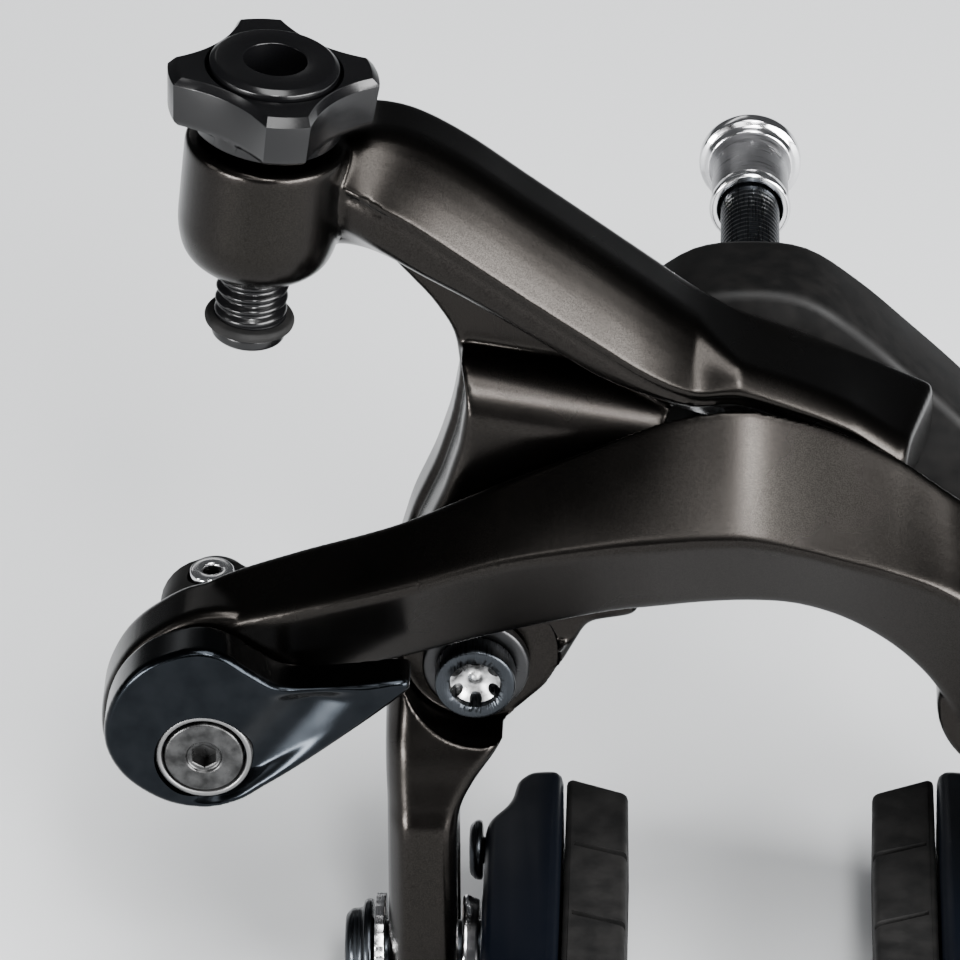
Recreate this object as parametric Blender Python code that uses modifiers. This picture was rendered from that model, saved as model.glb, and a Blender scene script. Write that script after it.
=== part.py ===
"""Dual-pivot rim brake caliper for a road bicycle.

Frame: origin on the centre bolt's axis at the rear mounting face, +Y to the rear (into the fork),
+Z up, +X to the right as seen from the front. Sizes below are in millimetres.
"""

import math

import bmesh
import bpy
from mathutils import Matrix, Vector

MM = 0.001

# Pivots: one each side of the centre bolt, so that both arms swing alike.
PIVOT_X, PIVOT_Z = 26.5, -17.0
AXLE_R, BUSH_INNER_R, BUSH_OUTER_R, ARM_BORE_R = 3.2, 3.5, 4.6, 4.9

# Layers from the mounting face forward, as Y.
WASHER_FRONT, BRIDGE_REAR, BRIDGE_FRONT = -1.3, -1.6, -12.0
REAR_ARM_BACK, REAR_ARM_FRONT = -13.0, -26.0
FRONT_ARM_BACK, FRONT_ARM_FRONT = -27.0, -35.0
PIVOT_RECESS_Y = -22.7

# Centre bolt and its long recessed nut.
BOLT_R, BOLT_TIP_Y, NUT_FRONT_Y, NUT_REAR_Y = 3.0, 40.5, 34.0, 45.0

# Barrel adjuster: its axis leans 6.8 degrees towards the centre plane.
ADJUSTER_BASE = (-46.6, -22.0, 27.0)
ADJUSTER_LEAN = math.radians(6.8)
BOSS_R, BOSS_TOP = 7.7, 14.2
KNOB_BASE, KNOB_TOP = 15.0, 21.6

# Quick release at the front arm's left end.
LEVER_X, LEVER_Z, LEVER_BACK, LEVER_FRONT = -52.1, -17.9, -33.9, -38.6
LINK_PIN_X, LINK_PIN_Z = -43.8, -12.5
CLAMP_X, CLAMP_Z = -51.9, -13.0
CAM_R, CAM_OFFSET = 2.4, 2.4

# Brake shoes: the stud slides 41 to 51 mm below the centre bolt.
STUD_Y, STUD_Z = -25.0, -50.0
REACH_MIN, REACH_MAX = 41.0, 51.0
ARM_OUTER_X, ARM_INNER_X = 35.5, 28.5
RIM_FACE_X, RUBBER_BACK_X = 12.2, 18.4

# The roller that links the arms, carried by the front arm.
ROLLER_Z, ROLLER_R, ROLLER_GAP, SWING = 3.0, 3.5, 0.3, math.radians(10.0)

SIDES = 24


# ---------------------------------------------------------------- scene and materials

for old in list(bpy.data.objects):
    bpy.data.objects.remove(old)


def new_collection(name):
    made = bpy.data.collections.new(name)
    bpy.context.scene.collection.children.link(made)
    return made


PARTS = new_collection("rim_brake_caliper")
CUTTERS = new_collection("cutters")


def material(name, colour, roughness, metallic):
    made = bpy.data.materials.new(name)
    made.use_nodes = True
    shader = made.node_tree.nodes["Principled BSDF"]
    shader.inputs["Base Color"].default_value = (*colour, 1.0)
    shader.inputs["Roughness"].default_value = roughness
    shader.inputs["Metallic"].default_value = metallic
    return made


ARM_PAINT = material("arm_paint", (0.045, 0.040, 0.037), 0.28, 0.6)
LEVER_PAINT = material("lever_paint", (0.020, 0.024, 0.028), 0.22, 0.3)
BLACK_METAL = material("black_metal", (0.012, 0.012, 0.012), 0.55, 0.4)
STEEL = material("steel", (0.55, 0.55, 0.56), 0.25, 1.0)
DARK_STEEL = material("dark_steel", (0.16, 0.16, 0.17), 0.4, 1.0)
BLACK_PLASTIC = material("black_plastic", (0.018, 0.018, 0.018), 0.45, 0.0)
SHOE_METAL = material("shoe_metal", (0.012, 0.016, 0.024), 0.35, 0.5)
RUBBER = material("rubber", (0.030, 0.029, 0.028), 0.85, 0.0)


# ---------------------------------------------------------------- modelling helpers

def mm(point):
    return Vector(point) * MM


def add(name, mesh, paint=None, collection=PARTS):
    obj = bpy.data.objects.new(name, mesh)
    collection.objects.link(obj)
    if paint:
        mesh.materials.append(paint)
    return obj


def mesh_from(name, bm):
    bmesh.ops.recalc_face_normals(bm, faces=bm.faces)
    mesh = bpy.data.meshes.new(name)
    bm.to_mesh(mesh)
    bm.free()
    return mesh


def turn_to(direction):
    """The rotation that takes +Z to a direction."""
    return Vector(direction).to_track_quat("Z", "Y").to_matrix().to_4x4()


def rod(name, start, end, radius, paint=None, end_radius=None, sides=SIDES):
    """A cylinder, cone or prism between two points."""
    start, end = mm(start), mm(end)
    bm = bmesh.new()
    bmesh.ops.create_cone(
        bm, cap_ends=True, segments=sides, depth=(end - start).length,
        radius1=radius * MM, radius2=(radius if end_radius is None else end_radius) * MM,
        matrix=Matrix.Translation((start + end) / 2) @ turn_to(end - start),
    )
    return add(name, mesh_from(name, bm), paint)


def block(name, low, high, paint=None):
    low, high = mm(low), mm(high)
    bm = bmesh.new()
    size = high - low
    bmesh.ops.create_cube(
        bm, size=1.0, matrix=Matrix.Translation((low + high) / 2) @ Matrix.Diagonal((*size, 1.0))
    )
    return add(name, mesh_from(name, bm), paint)


def turned(name, profile, base, direction, paint, steps=SIDES, ring=False):
    """A profile of (radius, height) points, top to bottom on its outer side, turned about an axis."""
    mesh = bpy.data.meshes.new(name)
    points = [(r * MM, 0.0, h * MM) for r, h in profile]
    edges = [(i, i + 1) for i in range(len(points) - 1)]
    if ring:
        edges.append((len(points) - 1, 0))
    mesh.from_pydata(points, edges, [])
    obj = add(name, mesh, paint)
    obj.matrix_world = Matrix.Translation(mm(base)) @ turn_to(direction)
    screw = obj.modifiers.new("turn", "SCREW")
    screw.steps = screw.render_steps = steps
    screw.use_merge_vertices = True
    screw.merge_threshold = 0.00001
    screw.use_smooth_shade = True
    return obj


def loft(name, rings, paint=None):
    """A closed body through rings of points that all have the same count."""
    bm = bmesh.new()
    made = [[bm.verts.new(mm(p)) for p in ring] for ring in rings]
    count = len(made[0])
    for a, b in zip(made, made[1:]):
        for i in range(count):
            j = (i + 1) % count
            bm.faces.new((a[i], a[j], b[j], b[i]))
    bm.faces.new(reversed(made[0]))
    bm.faces.new(made[-1])
    return add(name, mesh_from(name, bm), paint)


def smooth_line(points, per_span=3, closed=True):
    """Points on a Catmull-Rom curve through the given points."""
    line, count = [], len(points)
    spans = count if closed else count - 1
    for i in range(spans):
        if closed:
            a, b, c, d = (points[(i + k) % count] for k in (-1, 0, 1, 2))
        else:
            a, b, c, d = (points[min(max(i + k, 0), count - 1)] for k in (-1, 0, 1, 2))
        for step in range(per_span):
            t = step / per_span
            line.append(tuple(
                0.5 * (2 * q + (r - p) * t + (2 * p - 5 * q + 4 * r - s) * t * t
                       + (3 * q - p - 3 * r + s) * t ** 3)
                for p, q, r, s in zip(a, b, c, d)
            ))
    return line if closed else line + [tuple(points[-1])]


def plate(name, outline, front, back, paint=None):
    """An outline in X and Z, as thick as front to back in Y."""
    return loft(name, [[(x, y, z) for x, z in outline] for y in (front, back)], paint)


def meshed(name, curve, paint):
    """The curve object's evaluated shape as a mesh object, with its caps welded."""
    bpy.context.view_layer.update()
    graph = bpy.context.evaluated_depsgraph_get()
    mesh = bpy.data.meshes.new_from_object(curve.evaluated_get(graph))
    mesh.transform(curve.matrix_world)
    bm = bmesh.new()
    bm.from_mesh(mesh)
    bmesh.ops.remove_doubles(bm, verts=bm.verts, dist=0.000001)
    bpy.data.objects.remove(curve)
    mesh.materials.clear()
    return add(name, mesh_from(name, bm), paint)


def boolean(target, tool, operation):
    """Keeps the Boolean as a modifier, and puts its tool among the cutters."""
    modifier = target.modifiers.new(operation.lower(), "BOOLEAN")
    modifier.operation = operation
    modifier.solver = "EXACT"
    modifier.object = tool
    PARTS.objects.unlink(tool)
    CUTTERS.objects.link(tool)
    tool.hide_render = True
    tool.display_type = "WIRE"
    return target


def cut(target, *tools):
    for tool in tools:
        boolean(target, tool, "DIFFERENCE")
    return target


def join(target, *tools):
    for tool in tools:
        boolean(target, tool, "UNION")
    return target


def mirrored(points):
    return [(-x, z) for x, z in reversed(points)]


def frame_empty(name, point, parent=None):
    """An empty on a joint's axis, which carries the pieces of one moving body."""
    empty = bpy.data.objects.new(name, None)
    empty.empty_display_size = 0.005
    PARTS.objects.link(empty)
    empty.location = mm(point)
    bpy.context.view_layer.update()
    if parent:
        carry(parent, empty)
    return empty


def carry(empty, *objs):
    bpy.context.view_layer.update()
    for obj in objs:
        obj.parent = empty
        obj.matrix_parent_inverse = empty.matrix_world.inverted()


def along_adjuster(height, out=0.0):
    """A point at a height up the adjuster's leaning axis, and out to its right."""
    x, y, z = ADJUSTER_BASE
    s, c = math.sin(ADJUSTER_LEAN), math.cos(ADJUSTER_LEAN)
    return (x + height * s + out * c, y, z + height * c - out * s)


ADJUSTER_AXIS = (math.sin(ADJUSTER_LEAN), 0.0, math.cos(ADJUSTER_LEAN))


# ---------------------------------------------------------------- bridge, bolt and axles

def bridge():
    half = [
        (0.0, 18.0), (5.5, 17.2), (10.5, 13.6), (15.5, 8.8), (20.5, 3.7), (25.6, -2.2), (30.0, -6.8),
        (33.0, -10.6), (34.2, -15.0), (33.6, -20.0), (30.0, -24.2), (25.0, -25.0), (20.6, -22.0),
        (18.0, -16.5), (14.5, -11.0), (8.5, -8.2), (0.0, -7.4),
    ]
    outline = half + mirrored(half[1:-1])
    body = plate("pivot_bridge", outline, BRIDGE_FRONT, BRIDGE_REAR, BLACK_METAL)
    far, near = 5.0, -20.0
    cut(body, rod("bridge_bolt_hole", (0, near, 0), (0, far, 0), BOLT_R + 0.3))
    for side in (-1, 1):
        x = side * PIVOT_X
        cut(body, rod("bridge_axle_hole", (x, near, PIVOT_Z), (x, far, PIVOT_Z), AXLE_R + 0.3))
        cut(body, rod("bridge_counterbore", (x, -5.8, PIVOT_Z), (x, far, PIVOT_Z), 5.3))
    return body


def centre_bolt():
    head_front, head_back, head_r = -18.4, -13.4, 5.0
    bolt = turned("centre_bolt", [
        (0.0, BOLT_TIP_Y), (BOLT_R - 0.6, BOLT_TIP_Y), (BOLT_R, BOLT_TIP_Y - 0.8), (BOLT_R, head_back),
        (head_r, head_back), (head_r, head_front + 0.6), (head_r - 0.6, head_front), (0.0, head_front),
    ], (0, 0, 0), (0, 1, 0), STEEL)
    hex_r = 2.9
    cut(bolt, rod("bolt_socket", (0, head_front - 1, 0), (0, head_front + 3, 0), hex_r, sides=6))
    return bolt


def recessed_nut():
    bore, wall, flange, flange_y = 3.4, 4.05, 5.2, 42.6
    nut = turned("recessed_nut", [
        (2.3, NUT_REAR_Y), (flange - 0.5, NUT_REAR_Y), (flange, NUT_REAR_Y - 0.6), (flange, flange_y + 0.2),
        (flange - 0.2, flange_y), (wall, flange_y), (wall, NUT_FRONT_Y + 0.4), (wall - 0.3, NUT_FRONT_Y),
        (bore, NUT_FRONT_Y), (bore, BOLT_TIP_Y + 0.4), (2.3, BOLT_TIP_Y + 0.8),
    ], (0, 0, 0), (0, 1, 0), STEEL, ring=True)
    cut(nut, rod("nut_socket", (0, 42.0, 0), (0, NUT_REAR_Y + 1, 0), 2.9, sides=6))
    return nut


def washer(name, x, z, front, back, inner, outer, paint, axis=(0, 1, 0)):
    """A flat ring from front to back along its axis: Y, or X for a shoe's, where x and z are Y and Z."""
    base = (x, 0, z) if axis[1] else (0, x, z)
    low, high = front, back
    edge = min(0.25, (high - low) / 4)
    return turned(name, [
        (inner, high), (outer - edge, high), (outer, high - edge), (outer, low + edge),
        (outer - edge, low), (inner, low),
    ], base, axis, paint, ring=True)


def axle(name, x, head_front, head_back, head_r, shank_end, star):
    """A shoulder bolt. Its head faces the front if the star socket does, or else the rear."""
    high, low = max(head_back, shank_end), min(head_front, shank_end)
    if star:
        profile = [
            (0.0, high), (AXLE_R - 0.4, high), (AXLE_R, high - 0.4), (AXLE_R, head_back),
            (head_r, head_back), (head_r, low + 0.5), (head_r - 0.5, low), (0.0, low),
        ]
    else:
        profile = [
            (0.0, head_back), (head_r - 0.4, head_back), (head_r, head_back - 0.4), (head_r, head_front),
            (AXLE_R, head_front), (AXLE_R, low + 0.4), (AXLE_R - 0.4, low), (0.0, low),
        ]
    bolt = turned(name, profile, (x, 0, PIVOT_Z), (0, 1, 0), DARK_STEEL)
    mouth, depth = (low - 1, low + 2.2) if star else (head_back + 1, head_back - 2.0)
    cut(bolt, rod(name + "_socket", (x, mouth, PIVOT_Z), (x, depth, PIVOT_Z), 2.5, sides=6))
    return bolt


def bushing(name, x, front, back, flange_r=None):
    """A plain bearing pressed in an arm. A flanged one bears on the arm's front recess."""
    profile = [(BUSH_INNER_R, back), (BUSH_OUTER_R, back), (BUSH_OUTER_R, front)]
    if flange_r:
        step = front + 1.3
        profile[2:] = [
            (BUSH_OUTER_R, step), (flange_r, step), (flange_r, front + 0.3), (flange_r - 0.3, front),
        ]
    profile.append((BUSH_INNER_R, front))
    return turned(name, profile, (x, 0, PIVOT_Z), (0, 1, 0), STEEL, ring=True)


def return_spring(name, side):
    """A wire coil round the pivot with one leg up the arm's back."""
    wire, coil_r, back, turns, per_turn = 0.6, 6.1, REAR_ARM_BACK - 0.7, 2.25, 12
    points = []
    for i in range(int(turns * per_turn) + 1):
        angle = 2 * math.pi * i / per_turn
        y = back - (turns - i / per_turn) * 1.45
        points.append((
            side * (PIVOT_X + coil_r * math.sin(angle)), y, PIVOT_Z - coil_r * math.cos(angle)
        ))
    end = points[-1]
    points.append((end[0], end[1], end[2] + 5.0))
    points.append((end[0] - side * 0.6, end[1], end[2] + 11.0))
    data = bpy.data.curves.new(name, "CURVE")
    data.dimensions = "3D"
    data.bevel_depth = wire * MM
    data.bevel_resolution = 1
    data.use_fill_caps = True
    spline = data.splines.new("POLY")
    spline.points.add(len(points) - 1)
    for point, place in zip(spline.points, points):
        point.co = (*mm(place), 1.0)
    curve = bpy.data.objects.new(name + "_wire", data)
    PARTS.objects.link(curve)
    return meshed(name, curve, STEEL), end


# ---------------------------------------------------------------- rear arm (left pad, cable stop)

# Stations along the beam: X, top, Y of the top's front edge, crease height, bottom.
BEAM = [
    (-41.0, 39.8, -21.0, 34.8, 31.0), (-37.5, 39.9, -21.0, 33.0, 29.4), (-34.6, 39.9, -21.0, 31.3, 28.2),
    (-31.0, 39.2, -21.0, 29.1, 26.2), (-26.4, 36.6, -21.0, 25.9, 23.1), (-20.8, 32.2, -21.0, 22.0, 19.4),
    (-14.2, 27.0, -21.0, 17.4, 14.8), (-8.4, 22.5, -21.0, 14.0, 11.6), (-4.2, 19.4, -21.8, 14.4, 9.4),
    (0.0, 17.0, -24.4, 14.9, 8.7), (5.0, 14.9, -25.0, 13.4, 8.3), (9.8, 12.6, -25.0, 11.3, 6.0),
    (16.0, 8.6, -25.0, 7.6, 3.6),
]


def beam_rings():
    rings = []
    for x, top, shoulder, crease, bottom in BEAM:
        lift = 0.3 if shoulder > -23 else -0.4
        under = max(crease - 2.6, bottom)
        section = [
            (REAR_ARM_BACK, top - 0.4), (REAR_ARM_BACK - 0.8, top), (shoulder, top + lift),
            (REAR_ARM_FRONT, crease), (REAR_ARM_FRONT + 0.6, crease - 1.6), (-22.0, under - 0.05),
            (-21.0, bottom), (REAR_ARM_BACK, bottom),
        ]
        last = x == BEAM[-1][0]
        rings.append([
            (x + (1.9 * (y + 20.0) / 7.0 if last else 0.0), y, z) for y, z in section
        ])
    return rings


# The swinging plate from the beam down past the pivot.
WEB = [
    (-38.2, 33.0), (-38.0, 26.6), (-33.6, 24.2), (-30.2, 20.8), (-28.1, 17.2), (-27.6, 13.0), (-28.6, 7.6),
    (-30.2, 2.6), (-32.6, -2.8), (-34.4, -9.0), (-35.0, -17.0), (-35.2, -25.0), (-34.8, -29.5),
    (-25.4, -29.5), (-22.8, -25.2), (-19.9, -20.4), (-17.6, -16.2), (-15.6, -12.4), (-10.8, -11.6),
    (-9.6, -6.0), (-9.4, 1.0), (-8.4, 8.0), (-5.0, 12.6), (-6.0, 18.0), (-20.0, 27.0), (-31.0, 36.0),
]
# Its raised front panel, below the pocket under the beam.
PANEL = [
    (-27.9, 16.4), (-24.0, 16.2), (-17.0, 15.0), (-9.6, 13.6), (-6.6, 12.4), (-8.6, 8.0), (-9.4, 1.0),
    (-9.6, -6.0), (-10.8, -11.4), (-15.6, -12.2), (-17.6, -16.0), (-19.9, -20.2), (-24.0, -24.0),
    (-34.0, -24.0), (-34.6, -17.0), (-33.6, -9.0), (-31.8, -2.8), (-29.4, 2.6), (-27.8, 7.6), (-26.9, 13.0),
]
# Stations down a shoe leg: Z, outer X, inner X, front Y, back Y.
REAR_LEG = [
    (-14.0, -34.8, -18.5, -25.6, REAR_ARM_BACK), (-20.0, -35.2, -21.0, -26.6, REAR_ARM_BACK),
    (-24.0, -35.3, -24.0, -28.2, REAR_ARM_BACK), (-28.0, -35.3, -26.0, -29.4, -14.0),
    (-31.6, -35.2, -27.6, -30.4, -15.8), (-34.7, -35.3, -28.4, -31.4, -17.6),
    (-42.0, -35.4, -28.5, -31.8, -18.4), (-55.0, -35.6, -28.8, -31.4, -18.6),
    (-57.0, -35.0, -29.4, -29.6, -20.4),
]


def leg_ring(station):
    """A leg's section with its two front edges and its two back edges cut."""
    z, outer, inner, front, back = station
    side = 1 if inner > outer else -1
    edge = 1.4
    return [
        (outer, back + -0.6, z), (outer, front + 2.4, z), (outer + side * edge, front, z),
        (inner - side * edge, front, z), (inner, front + 2.0, z), (inner, back - 0.6, z),
        (inner - side * 0.6, back, z), (outer + side * 0.6, back, z),
    ]


def slot_cutter(name, side):
    """The stud's vertical slot through a leg."""
    half = BOLT_R + 0.35
    low, high = -REACH_MAX, -REACH_MIN
    arc = [math.pi * i / 8 for i in range(9)]
    outline = [(STUD_Y + half * math.cos(a), high + half * math.sin(a)) for a in arc]
    outline += [(STUD_Y - half * math.cos(a), low - half * math.sin(a)) for a in arc]
    near, far = side * 20.0, side * 45.0
    return loft(name, [[(x, y, z) for y, z in outline] for x in (near, far)])


def rear_arm():
    arm = loft("rear_arm", beam_rings(), ARM_PAINT)
    boss = turned("boss", [
        (0.0, BOSS_TOP), (BOSS_R - 0.5, BOSS_TOP), (BOSS_R, BOSS_TOP - 0.5), (BOSS_R, 4.6),
        (BOSS_R - 0.7, 2.4), (BOSS_R - 2.6, 0.6), (BOSS_R - 3.4, 0.0), (0.0, 0.0),
    ], ADJUSTER_BASE, ADJUSTER_AXIS, None)
    neck = loft("boss_neck", [
        [(-46.0, -14.6, 38.5), (-46.0, -17.0, 39.8), (-46.0, -25.0, 39.6), (-46.0, -29.0, 36.0),
         (-46.0, -28.0, 30.0), (-46.0, -16.0, 30.0)],
        [(-38.0, REAR_ARM_BACK, 39.2), (-38.0, -14.0, 39.8), (-38.0, -21.2, 40.0), (-38.0, -26.3, 33.2),
         (-38.0, -25.0, 28.6), (-38.0, REAR_ARM_BACK, 28.6)],
    ])
    web = plate("web", WEB, -18.0, REAR_ARM_BACK)
    panel = plate("panel", PANEL, -24.0, -17.0)
    leg = loft("rear_leg", [leg_ring(s) for s in REAR_LEG])
    join(arm, neck, boss, web, panel, leg)
    x = -PIVOT_X
    recess = rod("pivot_recess", (x, PIVOT_RECESS_Y, PIVOT_Z), (x, -40, PIVOT_Z), 8.2)
    bore = rod("pivot_bore", (x, -40, PIVOT_Z), (x, 0, PIVOT_Z), ARM_BORE_R)
    spring_room = rod("spring_room", (x, -17.6, PIVOT_Z), (x, -5, PIVOT_Z), 7.3)
    adjuster_hole = rod("adjuster_hole", along_adjuster(-5), along_adjuster(30), 3.75)
    cut(arm, recess, bore, spring_room, slot_cutter("rear_slot", -1), adjuster_hole)
    return arm


def rotated(point, centre, angle):
    """A point in X and Z turned about a centre, anticlockwise as seen from the front."""
    x, z = point[0] - centre[0], point[1] - centre[1]
    c, s = math.cos(angle), math.sin(angle)
    return (centre[0] + x * c - z * s, centre[1] + x * s + z * c)


def cam_plate():
    """The hard plate that the roller lifts. Its underside is the roller's path in the rear arm's frame."""
    steps = 6
    path = []
    for i in range(-1, steps + 2):
        swing = SWING * i / steps
        roller = rotated((0.0, ROLLER_Z), (PIVOT_X, PIVOT_Z), -swing)
        path.append(rotated(roller, (-PIVOT_X, PIVOT_Z), -swing))
    under = []
    for before, here, after in zip(path, path[1:], path[2:]):
        along = Vector((after[0] - before[0], after[1] - before[1])).normalized()
        reach = ROLLER_R + ROLLER_GAP
        under.append((here[0] - along.y * reach, here[1] + along.x * reach))
    under.insert(0, (under[0][0] - 2.5, under[0][1]))
    top = under[0][1] + 1.3
    outline = under + [(under[-1][0], top), (under[0][0], top)]
    return plate("cam_plate", outline, -25.6, -20.6, STEEL), outline


# ---------------------------------------------------------------- front arm (right pad, cable anchor)

# Stations along the arch: top back edge, front crease, bottom front edge as (X, Z), their Y values, and
# the width of the flat along the crease.
ARCH = [
    ((-56.0, -7.0), (-56.0, -9.6), (-55.0, -18.0), -27.0, -33.2, -33.0, 0.3),
    ((-50.0, -3.7), (-50.4, -6.0), (-48.6, -17.4), -27.0, -33.4, -33.0, 0.3),
    ((-42.9, -1.1), (-42.6, -3.5), (-41.6, -13.4), -27.0, -34.6, -32.2, 0.3),
    ((-33.3, 2.0), (-33.1, -0.8), (-32.5, -11.0), -27.0, -35.0, -31.5, 0.3),
    ((-23.7, 6.6), (-23.6, 2.0), (-23.4, -8.3), -27.0, -35.0, -31.5, 0.3),
    ((-14.2, 10.8), (-14.1, 3.5), (-14.2, -6.1), -27.0, -35.0, -31.5, 0.3),
    ((-8.5, 13.3), (-8.6, 3.9), (-8.8, -5.4), -27.0, -35.0, -31.5, 0.3),
    ((-4.0, 14.3), (-4.2, 4.1), (-4.4, -4.9), -27.0, -35.0, -31.5, 0.3),
    ((0.0, 14.5), (0.0, 4.1), (0.0, -4.7), -27.0, -35.0, -31.5, 0.3),
    ((4.7, 13.6), (4.7, 3.1), (4.5, -5.1), -27.0, -35.0, -31.5, 0.3),
    ((9.4, 11.9), (9.4, 1.9), (8.8, -6.6), -27.0, -35.0, -31.5, 0.3),
    ((14.5, 9.1), (13.8, 0.6), (12.9, -9.2), -27.0, -35.0, -31.5, 0.3),
    ((19.9, 4.9), (18.6, -1.4), (16.2, -12.4), -27.0, -35.0, -31.5, 0.3),
    ((25.4, -0.4), (23.2, -4.8), (18.5, -16.0), -24.5, -34.8, -31.2, 0.3),
    ((30.2, -7.0), (26.8, -10.0), (19.8, -20.0), -19.0, -34.2, -30.6, 0.3),
    ((33.6, -15.0), (30.0, -16.6), (21.4, -24.0), -14.4, -33.4, -29.8, 0.5),
    ((35.0, -23.0), (32.0, -24.4), (24.4, -28.0), -14.0, -32.6, -29.8, 0.9),
    ((35.4, -29.6), (33.4, -30.2), (26.6, -31.6), -15.0, -32.2, -30.2, 1.4),
    ((35.4, -34.0), (34.0, -34.4), (28.4, -35.0), -17.0, -31.9, -31.0, 1.4),
    ((35.5, -42.0), (34.1, -42.0), (28.5, -42.0), -18.4, -31.8, -31.6, 1.4),
    ((35.6, -55.0), (34.2, -55.0), (28.8, -55.0), -18.6, -31.4, -31.2, 1.4),
    ((35.0, -57.0), (33.8, -57.0), (29.4, -57.0), -20.4, -29.6, -29.4, 1.2),
]


def arch_rings():
    """Each ring runs from the top back edge, over the crease, under, and up the back."""
    rings = []
    for top, crease, low, y_top, y_crease, y_low, flat in ARCH:
        out = (Vector(top) - Vector(low)).normalized()
        t, k, b = Vector(top), Vector(crease), Vector(low)
        back = y_top
        k_low = k - out * (1.4 if flat > 0.3 else 1.1)
        rings.append([
            (t.x - out.x * 0.6, back, t.y - out.y * 0.6), (t.x, back - 0.9, t.y),
            (k.x + out.x * flat, y_crease + flat * 1.7, k.y + out.y * flat), (k_low.x, y_crease, k_low.y),
            (b.x + out.x * 0.7, y_low - 0.4, b.y + out.y * 0.7), (b.x, y_low + 0.8, b.y),
            (b.x, back - 0.8, b.y), (b.x + out.x * 0.8, back, b.y + out.y * 0.8),
        ])
    return rings


ARM_END = [
    (-57.0, -7.2), (-59.7, -9.8), (-61.5, -13.2), (-62.2, -16.4), (-62.1, -19.6), (-60.8, -22.6),
    (-58.2, -25.0), (-54.8, -26.3), (-51.0, -26.5), (-47.2, -25.2), (-44.2, -22.2), (-42.8, -18.4),
    (-42.4, -13.2), (-43.6, -8.6), (-48.0, -5.0), (-53.0, -5.0),
]


def front_arm():
    """The arch, its round end behind the lever, and the boss that turns on the right pivot."""
    arm = loft("front_arm", arch_rings(), ARM_PAINT)
    lever_boss = plate("lever_boss", smooth_line(ARM_END, 3), -33.5, FRONT_ARM_BACK)
    pivot_boss = rod("pivot_boss", (PIVOT_X, REAR_ARM_BACK, PIVOT_Z), (PIVOT_X, -31, PIVOT_Z), 8.6, sides=32)
    ear_outline = [(-48.0, -8.0), (-40.5, -6.0), (-40.0, -15.8), (-46.0, -18.0)]
    ear = plate("link_ear", ear_outline, -32.0, FRONT_ARM_BACK)
    join(arm, lever_boss, ear, pivot_boss)
    x = PIVOT_X
    cut(
        arm,
        rod("lever_bore", (LEVER_X, -45, LEVER_Z), (LEVER_X, -20, LEVER_Z), 5.25),
        rod("front_bore", (x, -28.6, PIVOT_Z), (x, 0, PIVOT_Z), ARM_BORE_R),
        rod("front_spring_room", (x, -17.6, PIVOT_Z), (x, -5, PIVOT_Z), 7.3),
        rod("link_pin_hole", (LINK_PIN_X, -31, LINK_PIN_Z), (LINK_PIN_X, -20, LINK_PIN_Z), 1.8),
        rod("roller_pin_hole", (0, -31, ROLLER_Z), (0, -20, ROLLER_Z), 2.0),
        slot_cutter("front_slot", 1),
    )
    return arm


# ---------------------------------------------------------------- quick release and cable anchor

LEVER_OUTLINE = [
    (-61.5, -14.4), (-60.2, -10.6), (-57.8, -7.7), (-55.0, -6.2), (-52.2, -5.6), (-49.8, -6.2),
    (-47.2, -8.1), (-44.4, -9.8), (-40.6, -10.0), (-36.2, -9.6), (-32.9, -9.3), (-32.3, -10.3),
    (-33.8, -11.7),
    (-38.0, -15.0), (-43.0, -18.9), (-46.4, -21.3), (-49.0, -23.0), (-52.2, -23.8), (-56.0, -23.0),
    (-59.4, -20.6), (-61.2, -17.6),
]


def lever():
    outline = smooth_line(LEVER_OUTLINE, 2)
    body = plate("quick_release_lever", outline, LEVER_FRONT + 0.9, LEVER_BACK, LEVER_PAINT)
    centre = Vector((-52.0, -15.4))
    inner = [tuple(centre + (Vector(p) - centre) * 0.93) for p in outline]
    face = loft("lever_face", [
        [(x, LEVER_FRONT + 1.4, z) for x, z in outline], [(x, LEVER_FRONT + 0.9, z) for x, z in outline],
        [(x, LEVER_FRONT, z) for x, z in inner],
    ])
    join(body, face)
    cut(body, rod("lever_recess", (LEVER_X, -45, LEVER_Z), (LEVER_X, LEVER_FRONT + 2.0, LEVER_Z), 4.9))
    cut(body, rod("lever_hole", (LEVER_X, -45, LEVER_Z), (LEVER_X, -20, LEVER_Z), 2.6))
    return body


def lever_shaft():
    """The shaft in the arm's bore, with the cam on its rear end and the lever screwed to its front."""
    shaft = rod("lever_shaft", (LEVER_X, -33.6, LEVER_Z), (LEVER_X, -26.8, LEVER_Z), 4.9, DARK_STEEL)
    cam_z = LEVER_Z - CAM_OFFSET
    cam = rod("cam", (LEVER_X, -27.5, cam_z), (LEVER_X, -21.0, cam_z), CAM_R)
    join(shaft, cam)
    cut(shaft, rod("screw_hole", (LEVER_X, -40, LEVER_Z), (LEVER_X, -29.0, LEVER_Z), 2.0))
    return shaft


def lever_screw():
    front, back = -38.3, -36.9
    screw = turned("lever_screw", [
        (0.0, -29.4), (1.7, -29.4), (1.7, back), (3.75, back), (3.75, front + 0.3), (3.45, front),
        (1.6, front), (1.5, front + 0.25), (0.0, front + 0.25),
    ], (LEVER_X, 0, LEVER_Z), (0, 1, 0), DARK_STEEL)
    cut(screw, rod("screw_socket", (LEVER_X, -41, LEVER_Z), (LEVER_X, -36.2, LEVER_Z), 1.15, sides=6))
    return screw


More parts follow.
